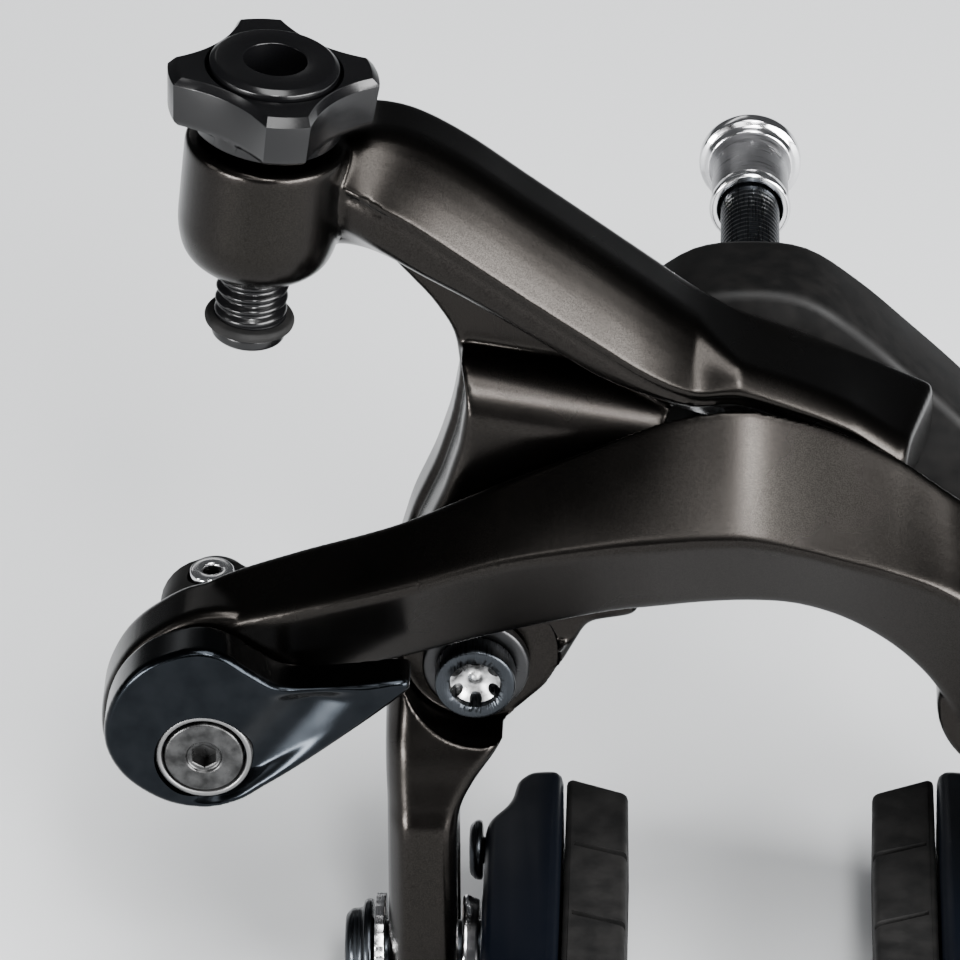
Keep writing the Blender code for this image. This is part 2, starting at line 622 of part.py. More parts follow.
def anchor_link():
    """The link that holds the cable clamp. It swings up on its pin as the cam turns under it."""
    round_top = [
        (CLAMP_X + 5.3 * math.cos(a), CLAMP_Z + 5.3 * math.sin(a))
        for a in (math.radians(d) for d in range(40, 206, 15))
    ]
    foot = LEVER_Z + 0.3
    outline = round_top + [
        (-56.4, foot), (-48.0, foot), (-46.4, -15.4), (-43.6, -15.7), (-41.1, -14.2),
        (-40.6, -12.0), (-42.4, -9.8),
    ]
    link = plate("anchor_link", outline, -24.0, -18.6, BLACK_METAL)
    cut(
        link,
        rod("clamp_hole", (CLAMP_X, -30, CLAMP_Z), (CLAMP_X, -10, CLAMP_Z), 2.8),
        rod("link_hole", (LINK_PIN_X, -30, LINK_PIN_Z), (LINK_PIN_X, -10, LINK_PIN_Z), 1.8),
        rod("guide_hole", (CLAMP_X, -21.3, CLAMP_Z + 3.3), (CLAMP_X, -21.3, 0), 2.45),
    )
    return link


def wire_guide():
    """The bright ring on the link's top that the wire goes down through."""
    return turned("wire_guide", [
        (0.9, 5.6), (1.9, 5.6), (2.15, 5.35), (2.15, 3.7), (0.9, 3.7),
    ], (CLAMP_X, -21.3, CLAMP_Z), (0, 0, 1), STEEL, ring=True)


def link_pin():
    return turned("link_pin", [
        (0.0, -17.2), (2.4, -17.2), (2.6, -17.4), (2.6, -18.3), (1.5, -18.3), (1.5, -30.4), (0.0, -30.4),
    ], (LINK_PIN_X, 0, LINK_PIN_Z), (0, 1, 0), STEEL)


def anchor_bolt():
    """The bolt that clamps the cable, its head to the rear."""
    bolt = turned("anchor_bolt", [
        (0.0, -15.6), (3.2, -15.6), (3.5, -15.9), (3.5, -18.3), (2.5, -18.3), (2.5, -26.4), (0.0, -26.4),
    ], (CLAMP_X, 0, CLAMP_Z), (0, 1, 0), DARK_STEEL)
    cut(bolt, rod("anchor_socket", (CLAMP_X, -13, CLAMP_Z), (CLAMP_X, -17.4, CLAMP_Z), 2.3, sides=6))
    return bolt


def roller_parts():
    roller = washer("link_roller", 0, ROLLER_Z, -25.6, -20.8, 2.1, ROLLER_R, STEEL)
    pin = turned("roller_pin", [
        (0.0, -19.4), (2.7, -19.4), (2.7, -20.4), (1.7, -20.4), (1.7, -30.4), (0.0, -30.4),
    ], (0, 0, ROLLER_Z), (0, 1, 0), DARK_STEEL)
    return roller, pin


# ---------------------------------------------------------------- barrel adjuster

def lobed(radius, hollow, blunt=12.0, phase=11.0, steps=10):
    """Four blunt lobes, each a short arc at the full radius, with a hollow arc between them."""
    points = []
    for lobe in range(4):
        middle = math.radians(90 * lobe + phase)
        for a in (middle - math.radians(blunt), middle, middle + math.radians(blunt)):
            points.append((radius * math.cos(a), radius * math.sin(a)))
        start = Vector(points[-1])
        a = middle + math.radians(90 - blunt)
        end = Vector((radius * math.cos(a), radius * math.sin(a)))
        a = middle + math.radians(45)
        pull = Vector((math.cos(a), math.sin(a))) * hollow * 2 - (start + end) / 2
        for k in range(1, steps):
            t = k / steps
            points.append(tuple(start * (1 - t) ** 2 + pull * 2 * t * (1 - t) + end * t * t))
    return points


def knob():
    """Four blunt lobes with hollows between them, on a round collar."""
    levels = [
        (KNOB_BASE, 6.9, 6.7), (KNOB_BASE + 1.3, 7.1, 6.9), (KNOB_BASE + 1.6, 9.3, 7.0),
        (KNOB_TOP - 0.5, 9.9, 7.1), (KNOB_TOP, 9.4, 6.8),
    ]
    turn = turn_to(ADJUSTER_AXIS)
    base = Vector(ADJUSTER_BASE)
    rings = [
        [tuple(base + (turn @ Vector((x, y, h)))) for x, y in lobed(radius, hollow)]
        for h, radius, hollow in levels
    ]
    body = loft("adjuster_knob", rings, BLACK_PLASTIC)
    cut(body, rod("knob_hole", along_adjuster(5), along_adjuster(30), 3.75))
    cut(body, rod("knob_recess", along_adjuster(KNOB_TOP - 1.8), along_adjuster(30), 6.5))
    return body


def adjuster_bolt():
    """The hollow screw that the housing seats in, with the stop groove at its lower end."""
    top, seat, low = KNOB_TOP + 0.9, KNOB_TOP - 1.5, -7.6
    return turned("adjuster_bolt", [
        (3.0, top), (5.6, top), (6.15, top - 0.6), (6.15, seat), (3.4, seat), (3.4, low + 2.6),
        (2.9, low + 2.5), (2.9, low + 1.3), (3.4, low + 1.2), (3.4, low + 0.4), (3.0, low),
        (1.3, low), (1.3, 12.0), (3.0, 12.0),
    ], ADJUSTER_BASE, ADJUSTER_AXIS, BLACK_PLASTIC, ring=True)


def stop_ring():
    """The rubber ring in the adjuster's groove."""
    bm = bmesh.new()
    ring_r, wire_r, around, across = 3.75, 0.5, SIDES, 8
    grid = []
    turn, base = turn_to(ADJUSTER_AXIS), Vector(ADJUSTER_BASE)
    for i in range(around):
        a = 2 * math.pi * i / around
        row = []
        for j in range(across):
            b = 2 * math.pi * j / across
            r = ring_r + wire_r * math.cos(b)
            point = base + turn @ Vector((r * math.cos(a), r * math.sin(a), -5.7 + wire_r * math.sin(b)))
            row.append(bm.verts.new(point * MM))
        grid.append(row)
    for i in range(around):
        for j in range(across):
            a, b = grid[i], grid[(i + 1) % around]
            bm.faces.new((a[j], b[j], b[(j + 1) % across], a[(j + 1) % across]))
    return add("adjuster_stop_ring", mesh_from("adjuster_stop_ring", bm), RUBBER)


# ---------------------------------------------------------------- brake shoes

def shoe(side, label):
    """One brake shoe: rubber, holder, its screw, the stud and washers. Side is -1 on the left."""
    def x(value):
        return side * value

    inner, back = RIM_FACE_X, RUBBER_BACK_X
    low, high = STUD_Z - 5.2, STUD_Z + 6.6

    # Seen from above, the rubber's ends are cut on a slant, and three slanted grooves cross it.
    slant, near, far = 2.6, STUD_Y - 23.4, STUD_Y + 20.4
    plan = [(inner, near + slant), (inner, far - slant), (back - 0.6, far), (back, far - 0.3),
            (back, near + 0.3), (back - 0.6, near)]
    rubber = loft(label + "_pad_rubber", [
        [(x(px), py, low) for px, py in plan], [(x(px), py, high - 0.4) for px, py in plan],
        [(x(px + (0.4 if px == inner else 0.0)), py, high) for px, py in plan],
    ], RUBBER)
    for groove_y in (-40.4, -28.7, -17.0):
        groove = [(inner - 1, groove_y - 0.4), (inner - 1, groove_y - 1.6), (back - 1.6, groove_y + 0.5),
                  (back - 1.6, groove_y + 1.5)]
        rings = [[(x(px), py, z) for px, py in groove] for z in (low - 1, high + 1)]
        cut(rubber, loft(label + "_groove", rings))

    # The holder: a channel behind the rubber, thicker round the stud.
    holder_front, holder_back = back + 0.3, 23.4
    h_low, h_high = low - 0.5, high + 0.9
    shape = [
        (holder_front, near - 2.4), (holder_front, far + 0.6), (holder_back - 1.2, far + 0.3),
        (holder_back, far - 1.2), (holder_back + 0.5, STUD_Y + 15.5), (26.3, STUD_Y + 12.0),
        (26.3, STUD_Y - 12.0), (holder_back + 0.5, STUD_Y - 15.5), (holder_back, near - 1.0),
        (holder_back - 1.0, near - 2.4),
    ]
    holder = loft(label + "_shoe_holder", [
        [(x(px - (0.5 if px > holder_back else 0.0)), py, z) for px, py in shape] if z in (h_low, h_high)
        else [(x(px), py, z) for px, py in shape]
        for z in (h_low, h_low + 0.9, h_high - 0.9, h_high)
    ], SHOE_METAL)
    tip = turned(label + "_stud_seat", [(0.0, 1.8), (6.0, 1.8), (6.8, 0.0), (0.0, 0.0)],
                 (x(25.2), STUD_Y, STUD_Z), (side, 0, 0), None)
    join(holder, tip)
    cut(holder, rod(label + "_stud_hole", (x(21.4), STUD_Y, STUD_Z), (x(30), STUD_Y, STUD_Z), BOLT_R + 0.3))
    screw_y, screw_z = STUD_Y + 10.6, STUD_Z + 4.6
    cut(holder, rod(label + "_screw_hole", (x(20.8), screw_y, screw_z), (x(30), screw_y, screw_z), 1.6))

    screw = turned(label + "_pad_screw", [
        (0.0, 27.9), (2.4, 27.9), (3.0, 27.3), (3.0, 26.6), (1.3, 26.6), (1.3, 21.2), (0.0, 21.2),
    ], (0, screw_y, screw_z), (side, 0, 0), BLACK_METAL, steps=20)
    mouth, floor = (x(29), screw_y, screw_z), (x(26.9), screw_y, screw_z)
    cut(screw, rod(label + "_pad_screw_socket", floor, mouth, 1.1, sides=6))

    inner_washer = washer(
        label + "_inner_washer", STUD_Y, STUD_Z, 27.25, 28.1, 3.4, 5.6, STEEL, (side, 0, 0))
    outer_washer = washer(
        label + "_outer_washer", STUD_Y, STUD_Z, 35.9, 36.9, 3.4, 5.7, STEEL, (side, 0, 0))
    stud = turned(label + "_shoe_bolt", [
        (0.0, 39.9), (3.6, 39.9), (4.1, 39.4), (4.2, 38.2), (4.9, 38.0), (5.1, 37.8), (5.1, 37.2),
        (BOLT_R, 37.2), (BOLT_R, 21.8), (0.0, 21.8),
    ], (0, STUD_Y, STUD_Z), (side, 0, 0), BLACK_METAL)
    cut(stud, rod(label + "_bolt_socket", (x(37.8), STUD_Y, STUD_Z), (x(43), STUD_Y, STUD_Z), 2.3, sides=6))
    return [rubber, holder, screw, inner_washer, stud], [outer_washer]


# ---------------------------------------------------------------- small screws

def shoulder_screw(name, z):
    """A grub screw in the front arm's shoulder, and the hole that it stands in."""
    y, inner, outer = -22.0, 31.0, 35.2
    screw = turned(name, [
        (0.0, outer), (1.6, outer), (1.9, outer - 0.3), (1.9, inner), (0.0, inner),
    ], (0, y, z), (1, 0, 0), STEEL, steps=16)
    cut(screw, rod(name + "_socket", (outer - 1.6, y, z), (outer + 1, y, z), 1.15, sides=6))
    hole = rod(name + "_hole", (inner - 0.4, y, z), (outer + 6, y, z), 2.2, sides=16)
    return screw, hole


# ---------------------------------------------------------------- assembly

def build():
    root = frame_empty("bridge_frame", (0, 0, 0))
    rear = frame_empty("rear_arm_frame", (-PIVOT_X, 0, PIVOT_Z), root)
    front = frame_empty("front_arm_frame", (PIVOT_X, 0, PIVOT_Z), root)

    body = bridge()
    left_spring, left_end = return_spring("left_return_spring", -1)
    right_spring, right_end = return_spring("right_return_spring", 1)
    carry(
        root, body, centre_bolt(), recessed_nut(), left_spring, right_spring,
        washer("bolt_washer", 0, 0, -13.1, -12.3, 3.3, 6.6, STEEL),
        washer("mounting_washer", 0, 0, WASHER_FRONT, 0.0, 3.4, 8.5, STEEL),
        axle("left_pivot_axle", -PIVOT_X, -27.3, -24.6, 3.9, -2.4, True),
        axle("right_pivot_axle", PIVOT_X, -5.5, -2.0, 4.9, -28.0, False),
    )

    arm = rear_arm()
    plate_body, cam_outline = cam_plate()
    low = min(z for _, z in cam_outline)
    x_low, x_high = min(p[0] for p in cam_outline), max(p[0] for p in cam_outline)
    cut(arm, block("cam_seat", (x_low - 0.3, -30, low - 3), (x_high + 0.3, -20.2, cam_outline[-1][1] + 0.3)))
    cut(arm, block("left_leg_groove", (left_end[0] - 1.2, left_end[1] - 1.1, left_end[2] - 1),
                   (left_end[0] + 1.8, 0, left_end[2] + 12.5)))
    carry(rear, arm, plate_body, bushing("left_bushing", -PIVOT_X, -24.3, -18.0, 5.7))
    adjuster = frame_empty("adjuster_frame", ADJUSTER_BASE, rear)
    carry(adjuster, knob(), adjuster_bolt(), stop_ring())

    arm = front_arm()
    tension_screw, tension_hole = shoulder_screw("spring_tension_screw", PIVOT_Z - 4.2)
    centring_screw, centring_hole = shoulder_screw("centring_screw", PIVOT_Z + 4.2)
    cut(arm, tension_hole, centring_hole)
    cut(arm, block("right_leg_groove", (right_end[0] - 1.8, right_end[1] - 1.1, right_end[2] - 1),
                   (right_end[0] + 1.2, 0, right_end[2] + 12.5)))
    carry(front, arm, tension_screw, centring_screw, link_pin(), *roller_parts())
    carry(front, bushing("right_bushing", PIVOT_X, -28.2, -18.0))
    release = frame_empty("quick_release_frame", (LEVER_X, 0, LEVER_Z), front)
    carry(release, lever(), lever_shaft(), lever_screw())
    link = frame_empty("anchor_link_frame", (LINK_PIN_X, 0, LINK_PIN_Z), front)
    clamp = washer("cable_clamp_washer", CLAMP_X, CLAMP_Z, -26.4, -24.3, 2.8, 4.6, STEEL)
    carry(link, anchor_link(), wire_guide(), anchor_bolt(), clamp)

    for side, label, carrier in ((-1, "left", rear), (1, "right", front)):
        shoe_frame = frame_empty(label + "_shoe_frame", (side * 32.0, STUD_Y, STUD_Z), carrier)
        moving, outside = shoe(side, label)
        carry(shoe_frame, *moving, *outside)


build()
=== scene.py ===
"""The looks of a road bicycle's rim brake caliper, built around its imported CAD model.

Sizes here are in millimetres, in the CAD model's frame: +Y to the rear along the centre bolt, +Z up.
"""

import math

import bmesh
import bpy
from mathutils import Matrix, Vector


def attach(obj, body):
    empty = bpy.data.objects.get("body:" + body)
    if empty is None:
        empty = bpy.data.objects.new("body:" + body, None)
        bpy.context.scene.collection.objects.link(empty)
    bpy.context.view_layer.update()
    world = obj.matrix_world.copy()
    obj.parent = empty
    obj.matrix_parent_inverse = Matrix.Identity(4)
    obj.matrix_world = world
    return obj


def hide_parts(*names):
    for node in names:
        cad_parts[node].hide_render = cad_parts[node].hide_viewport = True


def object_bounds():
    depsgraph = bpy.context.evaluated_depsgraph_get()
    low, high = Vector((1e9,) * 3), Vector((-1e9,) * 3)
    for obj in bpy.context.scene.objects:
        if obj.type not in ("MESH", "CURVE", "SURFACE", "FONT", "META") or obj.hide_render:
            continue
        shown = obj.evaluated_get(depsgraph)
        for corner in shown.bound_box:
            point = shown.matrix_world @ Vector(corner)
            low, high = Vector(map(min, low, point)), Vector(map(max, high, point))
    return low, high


MM = 0.001

# Axes along Y: the two pivots (mirrored), the quick release, the anchor link and the cable clamp.
PIVOT_X, PIVOT_Z = 26.5, -17.0
LEVER_X, LEVER_Z = -52.1, -17.9
LINK_X, LINK_Z = -43.8, -12.5
CLAMP_X, CLAMP_Z = -51.9, -13.0
ROLLER_Z = 3.0

# Axes along X: the shoes' studs and the two small screws above and below the right pivot.
STUD_Y, STUD_Z = -25.0, -50.0
SHOULDER_Y, SHOULDER_STEP = -22.0, 4.2

# The cable runs along Z at this Y.
CABLE_Y = -21.3

ARM_BACK = -13.0
BUSHING_BORE, SPRING_RECESS, LINK_PIN_BORE, ADJUSTER_BORE = 4.9, 7.3, 1.8, 3.75

# The adjuster leans a little to the right; its heights are measured along its axis.
ADJUSTER_BASE = Vector((-46.6, -22.0, 27.0))
ADJUSTER_LEAN = math.radians(6.8)
ADJUSTER_AXIS = Vector((math.sin(ADJUSTER_LEAN), 0.0, math.cos(ADJUSTER_LEAN)))
KNOB_BASE, KNOB_TOP = 15.0, 21.6

Y_AXIS, X_AXIS, Z_AXIS = Vector((0, 1, 0)), Vector((1, 0, 0)), Vector((0, 0, 1))

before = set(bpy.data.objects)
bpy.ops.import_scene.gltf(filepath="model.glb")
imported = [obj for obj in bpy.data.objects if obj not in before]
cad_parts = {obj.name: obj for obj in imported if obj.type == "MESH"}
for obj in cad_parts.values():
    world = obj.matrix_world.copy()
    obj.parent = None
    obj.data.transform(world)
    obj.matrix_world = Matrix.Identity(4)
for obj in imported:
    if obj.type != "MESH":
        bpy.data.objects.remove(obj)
cad_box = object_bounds()


# ---------------------------------------------------------------- materials

def shader(name, colour, roughness, metallic=0.0, specular=0.5):
    made = bpy.data.materials.new(name)
    made.use_nodes = True
    node = made.node_tree.nodes["Principled BSDF"]
    node.inputs["Base Color"].default_value = (*colour, 1.0)
    node.inputs["Roughness"].default_value = roughness
    node.inputs["Metallic"].default_value = metallic
    node.inputs["Specular IOR Level"].default_value = specular
    return made, node


def noise(made, scale, detail=3.0, stretch=(1, 1, 1)):
    """A noise in the object's own coordinates, squeezed by stretch."""
    tree = made.node_tree
    place = tree.nodes.new("ShaderNodeTexCoord")
    mapping = tree.nodes.new("ShaderNodeMapping")
    mapping.inputs["Scale"].default_value = stretch
    texture = tree.nodes.new("ShaderNodeTexNoise")
    texture.inputs["Scale"].default_value = scale
    texture.inputs["Detail"].default_value = detail
    tree.links.new(place.outputs["Object"], mapping.inputs["Vector"])
    tree.links.new(mapping.outputs["Vector"], texture.inputs["Vector"])
    return texture.outputs["Fac"]


def vary(made, node, socket, fac, low, high):
    """A socket that drifts between two values or two colours with a noise."""
    tree = made.node_tree
    ramp = tree.nodes.new("ShaderNodeValToRGB")
    ends = ramp.color_ramp.elements
    ends[0].position, ends[1].position = 0.35, 0.65
    for end, value in zip(ends, (low, high)):
        end.color = (*value, 1.0) if isinstance(value, tuple) else (value, value, value, 1.0)
    tree.links.new(fac, ramp.inputs["Fac"])
    tree.links.new(ramp.outputs["Color"], node.inputs[socket])


def bump(made, node, fac, distance, strength):
    tree = made.node_tree
    raised = tree.nodes.new("ShaderNodeBump")
    raised.inputs["Distance"].default_value = distance * MM
    raised.inputs["Strength"].default_value = strength
    tree.links.new(fac, raised.inputs["Height"])
    tree.links.new(raised.outputs["Normal"], node.inputs["Normal"])


def arm_paint():
    """Dark warm-grey metallic: fine flakes and a slow drift in gloss."""
    made, node = shader("arm_paint", (0.022, 0.020, 0.019), 0.25, 1.0)
    dark, flake = (0.0105, 0.0096, 0.0089), (0.0195, 0.0179, 0.0164)
    vary(made, node, "Base Color", noise(made, 9000, 1.0), dark, flake)
    vary(made, node, "Roughness", noise(made, 90), 0.235, 0.28)
    bump(made, node, noise(made, 5200, 1.0), 0.01, 0.06)
    return made


def lever_paint():
    """A glossier, bluer black than the arms'."""
    made, node = shader("lever_paint", (0.010, 0.0113, 0.013), 0.2, 1.0)
    dark, light = (0.0075, 0.0087, 0.0102), (0.0105, 0.012, 0.014)
    vary(made, node, "Base Color", noise(made, 400), dark, light)
    vary(made, node, "Roughness", noise(made, 120), 0.17, 0.22)
    bump(made, node, noise(made, 700), 0.01, 0.03)
    return made


def matt_black():
    """Anodised black with a fine blasted grain."""
    made, node = shader("matt_black", (0.003, 0.003, 0.003), 0.5, specular=0.10)
    dark, light = (0.002, 0.002, 0.002), (0.0036, 0.0034, 0.0033)
    vary(made, node, "Base Color", noise(made, 600), dark, light)
    vary(made, node, "Roughness", noise(made, 150), 0.46, 0.6)
    bump(made, node, noise(made, 4200, 4.0), 0.02, 0.22)
    return made


def black_plastic():
    """Moulded plastic with a fine texture."""
    made, node = shader("black_plastic", (0.0015, 0.0015, 0.0017), 0.28, specular=0.24)
    vary(made, node, "Roughness", noise(made, 200), 0.20, 0.27)
    bump(made, node, noise(made, 2600, 4.0), 0.02, 0.16)
    return made


def plated(name, colour, roughness, spin=None):
    """Plated steel. Spin streaks it round a turned piece's axis by squeezing the noise along it."""
    made, node = shader(name, colour, roughness, 1.0)
    low = tuple(c * 0.82 for c in colour)
    vary(made, node, "Base Color", noise(made, 260), low, colour)
    streak = noise(made, 900, 2.0, spin or (1, 1, 1))
    vary(made, node, "Roughness", streak, roughness * 0.8, roughness * 1.35)
    bump(made, node, streak, 0.008, 0.12)
    return made


def worn_black(name, dark, bare):
    """Blackened steel rubbed through to bare metal in patches."""
    made, node = shader(name, dark, 0.34, 1.0)
    vary(made, node, "Base Color", noise(made, 700, 5.0), dark, bare)
    vary(made, node, "Roughness", noise(made, 1200), 0.26, 0.44)
    bump(made, node, noise(made, 1800, 4.0), 0.02, 0.3)
    return made


def rubber():
    """Moulded rubber with a dusty bloom."""
    made, node = shader("rubber", (0.005, 0.005, 0.005), 0.7, specular=0.14)
    dark, dusty = (0.003, 0.003, 0.003), (0.0075, 0.0072, 0.007)
    vary(made, node, "Base Color", noise(made, 420, 6.0), dark, dusty)
    vary(made, node, "Roughness", noise(made, 500), 0.6, 0.8)
    bump(made, node, noise(made, 3000, 5.0), 0.03, 0.3)
    return made


def shoe_paint():
    """Blue-black paint on the shoe holders."""
    made, node = shader("shoe_paint", (0.0009, 0.0014, 0.0028), 0.34, specular=0.13)
    vary(made, node, "Roughness", noise(made, 180), 0.32, 0.42)
    bump(made, node, noise(made, 1500, 2.0), 0.01, 0.08)
    return made


PAINT, LEVER, BLACK, PLASTIC = arm_paint(), lever_paint(), matt_black(), black_plastic()
CHROME = plated("chrome", (0.72, 0.72, 0.73), 0.14)
BRUSHED = plated("brushed_steel", (0.30, 0.30, 0.31), 0.34, (0.3, 12, 0.3))
TURNED_Y = plated("turned_steel_y", (0.58, 0.58, 0.59), 0.24, (0.15, 14, 0.15))
TURNED_X = plated("turned_steel_x", (0.62, 0.62, 0.63), 0.22, (14, 0.15, 0.15))
DARK_STEEL = plated("dark_steel", (0.14, 0.14, 0.14), 0.42, (0.15, 10, 0.15))
BLACK_STEEL = plated("black_steel", (0.028, 0.031, 0.035), 0.28, (6, 0.2, 0.2))
# Steel for the left bushing, darkened all over as painted shade for the shadow in the arm's cup round the
# pivot; its noise drift is only random tone.
SHADE_DARKENED_BUSH = plated("shade_darkened_steel", (0.035, 0.035, 0.036), 0.34, (0.15, 10, 0.15))
SCREW = worn_black("screw_black", (0.022, 0.022, 0.022), (0.06, 0.06, 0.06))
STAR = worn_black("star_black", (0.05, 0.05, 0.05), (0.55, 0.55, 0.55))
RUBBER, SHOE = rubber(), shoe_paint()


# ---------------------------------------------------------------- shaping helpers

def mm(point):
    return Vector(point) * MM


def new_object(name, bm, paint, smooth=True):
    """An object from a bmesh, its faces turned outward."""
    bmesh.ops.recalc_face_normals(bm, faces=bm.faces)
    if bm.calc_volume(signed=True) < 0:
        bmesh.ops.reverse_faces(bm, faces=bm.faces)
    mesh = bpy.data.meshes.new(name)
    bm.to_mesh(mesh)
    bm.free()
    if paint:
        mesh.materials.append(paint)
    obj = bpy.data.objects.new(name, mesh)
    bpy.context.scene.collection.objects.link(obj)
    if smooth:
        mesh.shade_smooth()
    return obj


def sharpen(obj, degrees=32):
    """Edges sharper than this stay sharp under smooth shading."""
    mesh = obj.data
    bm = bmesh.new()
    bm.from_mesh(mesh)
    for edge in bm.edges:
        edge.smooth = edge.is_boundary or edge.calc_face_angle(0.0) < math.radians(degrees)
    bm.to_mesh(mesh)
    bm.free()
    return obj


def turn_to(direction):
    return Vector(direction).to_track_quat("Z", "Y").to_matrix().to_4x4()


def eased(points, radius, steps=4, closed=True, fill=0):
    """A line of points with each corner rounded, and fill points on each straight part.

    With no common radius, each point carries its own as a last value.
    """
    count, line = len(points), []
    bare = [Vector(p if radius is not None else p[:-1]) for p in points]
    for i, here in enumerate(bare):
        if not closed and i in (0, count - 1):
            line.append(tuple(here))
            continue
        before, after = bare[i - 1], bare[(i + 1) % count]
        reach = radius if radius is not None else points[i][-1]
        reach = min(reach, (before - here).length * 0.45, (after - here).length * 0.45)
        start = here + (before - here).normalized() * reach
        end = here + (after - here).normalized() * reach
        if fill and line:
            line += straight(line[-1], start, fill)
        for k in range(steps + 1):
            t = k / steps
            line.append(tuple(start * (1 - t) ** 2 + here * 2 * t * (1 - t) + end * t * t))
    if fill and closed:
        line += straight(line[-1], line[0], fill)
    return line


def straight(start, end, count):
    """Points spaced evenly between two others."""
    start, end = Vector(start), Vector(end)
    return [tuple(start.lerp(end, k / (count + 1))) for k in range(1, count + 1)]


def smooth_line(points, per_span=3, closed=True):
    """Points on a Catmull-Rom curve through the given points."""
    line, count = [], len(points)
    for i in range(count if closed else count - 1):
        if closed:
            a, b, c, d = (points[(i + k) % count] for k in (-1, 0, 1, 2))
        else:
            a, b, c, d = (points[min(max(i + k, 0), count - 1)] for k in (-1, 0, 1, 2))
        for step in range(per_span):
            t = step / per_span
            line.append(tuple(
                0.5 * (2 * q + (r - p) * t + (2 * p - 5 * q + 4 * r - s) * t * t
                       + (3 * q - p - 3 * r + s) * t ** 3)
                for p, q, r, s in zip(a, b, c, d)
            ))
    return line if closed else line + [tuple(points[-1])]


def loft(name, rings):
    """A skin through closed rings of as many points each, flat at both ends."""
    bm = bmesh.new()
    made = [[bm.verts.new(mm(p)) for p in ring] for ring in rings]
    count = len(made[0])
    for a, b in zip(made, made[1:]):
        for i in range(count):
            j = (i + 1) % count
            bm.faces.new((a[i], a[j], b[j], b[i]))
    bm.faces.new(reversed(made[0]))
    bm.faces.new(made[-1])
    return new_object(name, bm, None)


def plate(name, outline, front, back, edge):
    """An outline in X and Z, front to back in Y, with its front and back edges rounded over."""
    area = sum(a[0] * b[1] - b[0] * a[1] for a, b in zip(outline, outline[1:] + outline[:1]))
    hand = 1 if area > 0 else -1
    inward = []
    for i in range(len(outline)):
        before, after = Vector(outline[i - 1]), Vector(outline[(i + 1) % len(outline)])
        along = (after - before).normalized() * hand
        inward.append(Vector((-along.y, along.x)))
    rings = []
    for depth, way, sweep in ((front, 1, (90, 60, 30, 0)), (back, -1, (0, 30, 60, 90))):
        for a in map(math.radians, sweep):
            ring = []
            for p, normal in zip(outline, inward):
                drawn = Vector(p) + normal * edge * (1 - math.cos(a))
                ring.append((drawn.x, depth + way * edge * (1 - math.sin(a)), drawn.y))
            rings.append(ring)
    return loft(name, rings)


def distance_to(point, start, end):
    """How far a point is from a straight line between two others."""
    along = end - start
    t = min(max((point - start).dot(along) / max(along.length_squared, 1e-9), 0.0), 1.0)
    return (point - start - along * t).length


def round_axis(radius, i, steps, height):
    """The i-th of so many points on a circle round Z."""
    angle = 2 * math.pi * i / steps
    return Vector((radius * math.cos(angle) * MM, radius * math.sin(angle) * MM, height * MM))


def lathe(name, profile, base, axis, paint=None, steps=64, ease=0.15, ring=False):
    """A profile of (radius, height) points turned about an axis, its corners rounded."""
    line = eased([(r, h) for r, h in profile], ease, 3, closed=ring)
    turn = Matrix.Translation(mm(base)) @ turn_to(axis)
    bm = bmesh.new()
    rows = []
    for r, h in line:
        if r < 0.001:
            rows.append([bm.verts.new(turn @ Vector((0, 0, h * MM)))])
            continue
        rows.append([bm.verts.new(turn @ round_axis(r, i, steps, h)) for i in range(steps)])
    pairs = list(zip(rows, rows[1:])) + ([(rows[-1], rows[0])] if ring else [])
    for a, b in pairs:
        if len(a) == len(b) == 1:
            continue
        for i in range(steps):
            j = (i + 1) % steps
            if len(a) == 1:
                bm.faces.new((a[0], b[j], b[i]))
            elif len(b) == 1:
                bm.faces.new((a[i], a[j], b[0]))
            else:
                bm.faces.new((a[i], a[j], b[j], b[i]))
    return sharpen(new_object(name, bm, paint), 40)


def rod(start, end, radius, end_radius=None, sides=48):
    """A cutter: a cylinder, cone or prism between two points."""
    start, end = mm(start), mm(end)
    last = radius if end_radius is None else end_radius
    bm = bmesh.new()
    bmesh.ops.create_cone(
        bm, cap_ends=True, segments=sides, depth=(end - start).length,
        radius1=radius * MM, radius2=last * MM,
        matrix=Matrix.Translation((start + end) / 2) @ turn_to(end - start),
    )
    return new_object("tool", bm, None, smooth=False)


def bore(x, z, start, end, radius, sides=48):
    """A cutter along Y."""
    return rod((x, start, z), (x, end, z), radius, sides=sides)


def block(low, high):
    """A cutter: a box between two corners."""
    low, high = mm(low), mm(high)
    place = Matrix.Translation((low + high) / 2) @ Matrix.Diagonal((*(high - low), 1.0))
    bm = bmesh.new()
    bmesh.ops.create_cube(bm, size=1.0, matrix=place)
    return new_object("tool", bm, None, smooth=False)


def settle(obj):
    """Puts the result of an object's modifiers into its mesh."""
    bpy.context.view_layer.update()
    graph = bpy.context.evaluated_depsgraph_get()
    mesh = bpy.data.meshes.new_from_object(obj.evaluated_get(graph))
    obj.modifiers.clear()
    obj.data = mesh
    return obj


def combine(obj, operation, *tools):
    """A boolean with each tool in turn; the tools are used up."""
    for tool in tools:
        modifier = obj.modifiers.new("combine", "BOOLEAN")
        modifier.operation = operation
        modifier.solver = "EXACT"
        modifier.object = tool
    settle(obj)
    for tool in tools:
        bpy.data.objects.remove(tool)
    return obj


def join(obj, *tools):
    return combine(obj, "UNION", *tools)


def cut(obj, *tools):
    return combine(obj, "DIFFERENCE", *tools)


def gather(obj, *others):
    """Adds other shapes' shells to an object's, for forged() to make one skin of."""
    bm = bmesh.new()
    bm.from_mesh(obj.data)
    for other in others:
        bm.from_mesh(other.data)
        bpy.data.objects.remove(other)
    bm.to_mesh(obj.data)
    bm.free()
    return obj


def reskin(obj, grid):
    skin = obj.modifiers.new("skin", "REMESH")
    skin.mode = "VOXEL"
    skin.voxel_size = grid * MM


def soften(obj, rounds):
    ease = obj.modifiers.new("ease", "SMOOTH")
    ease.factor = 0.5
    ease.iterations = rounds


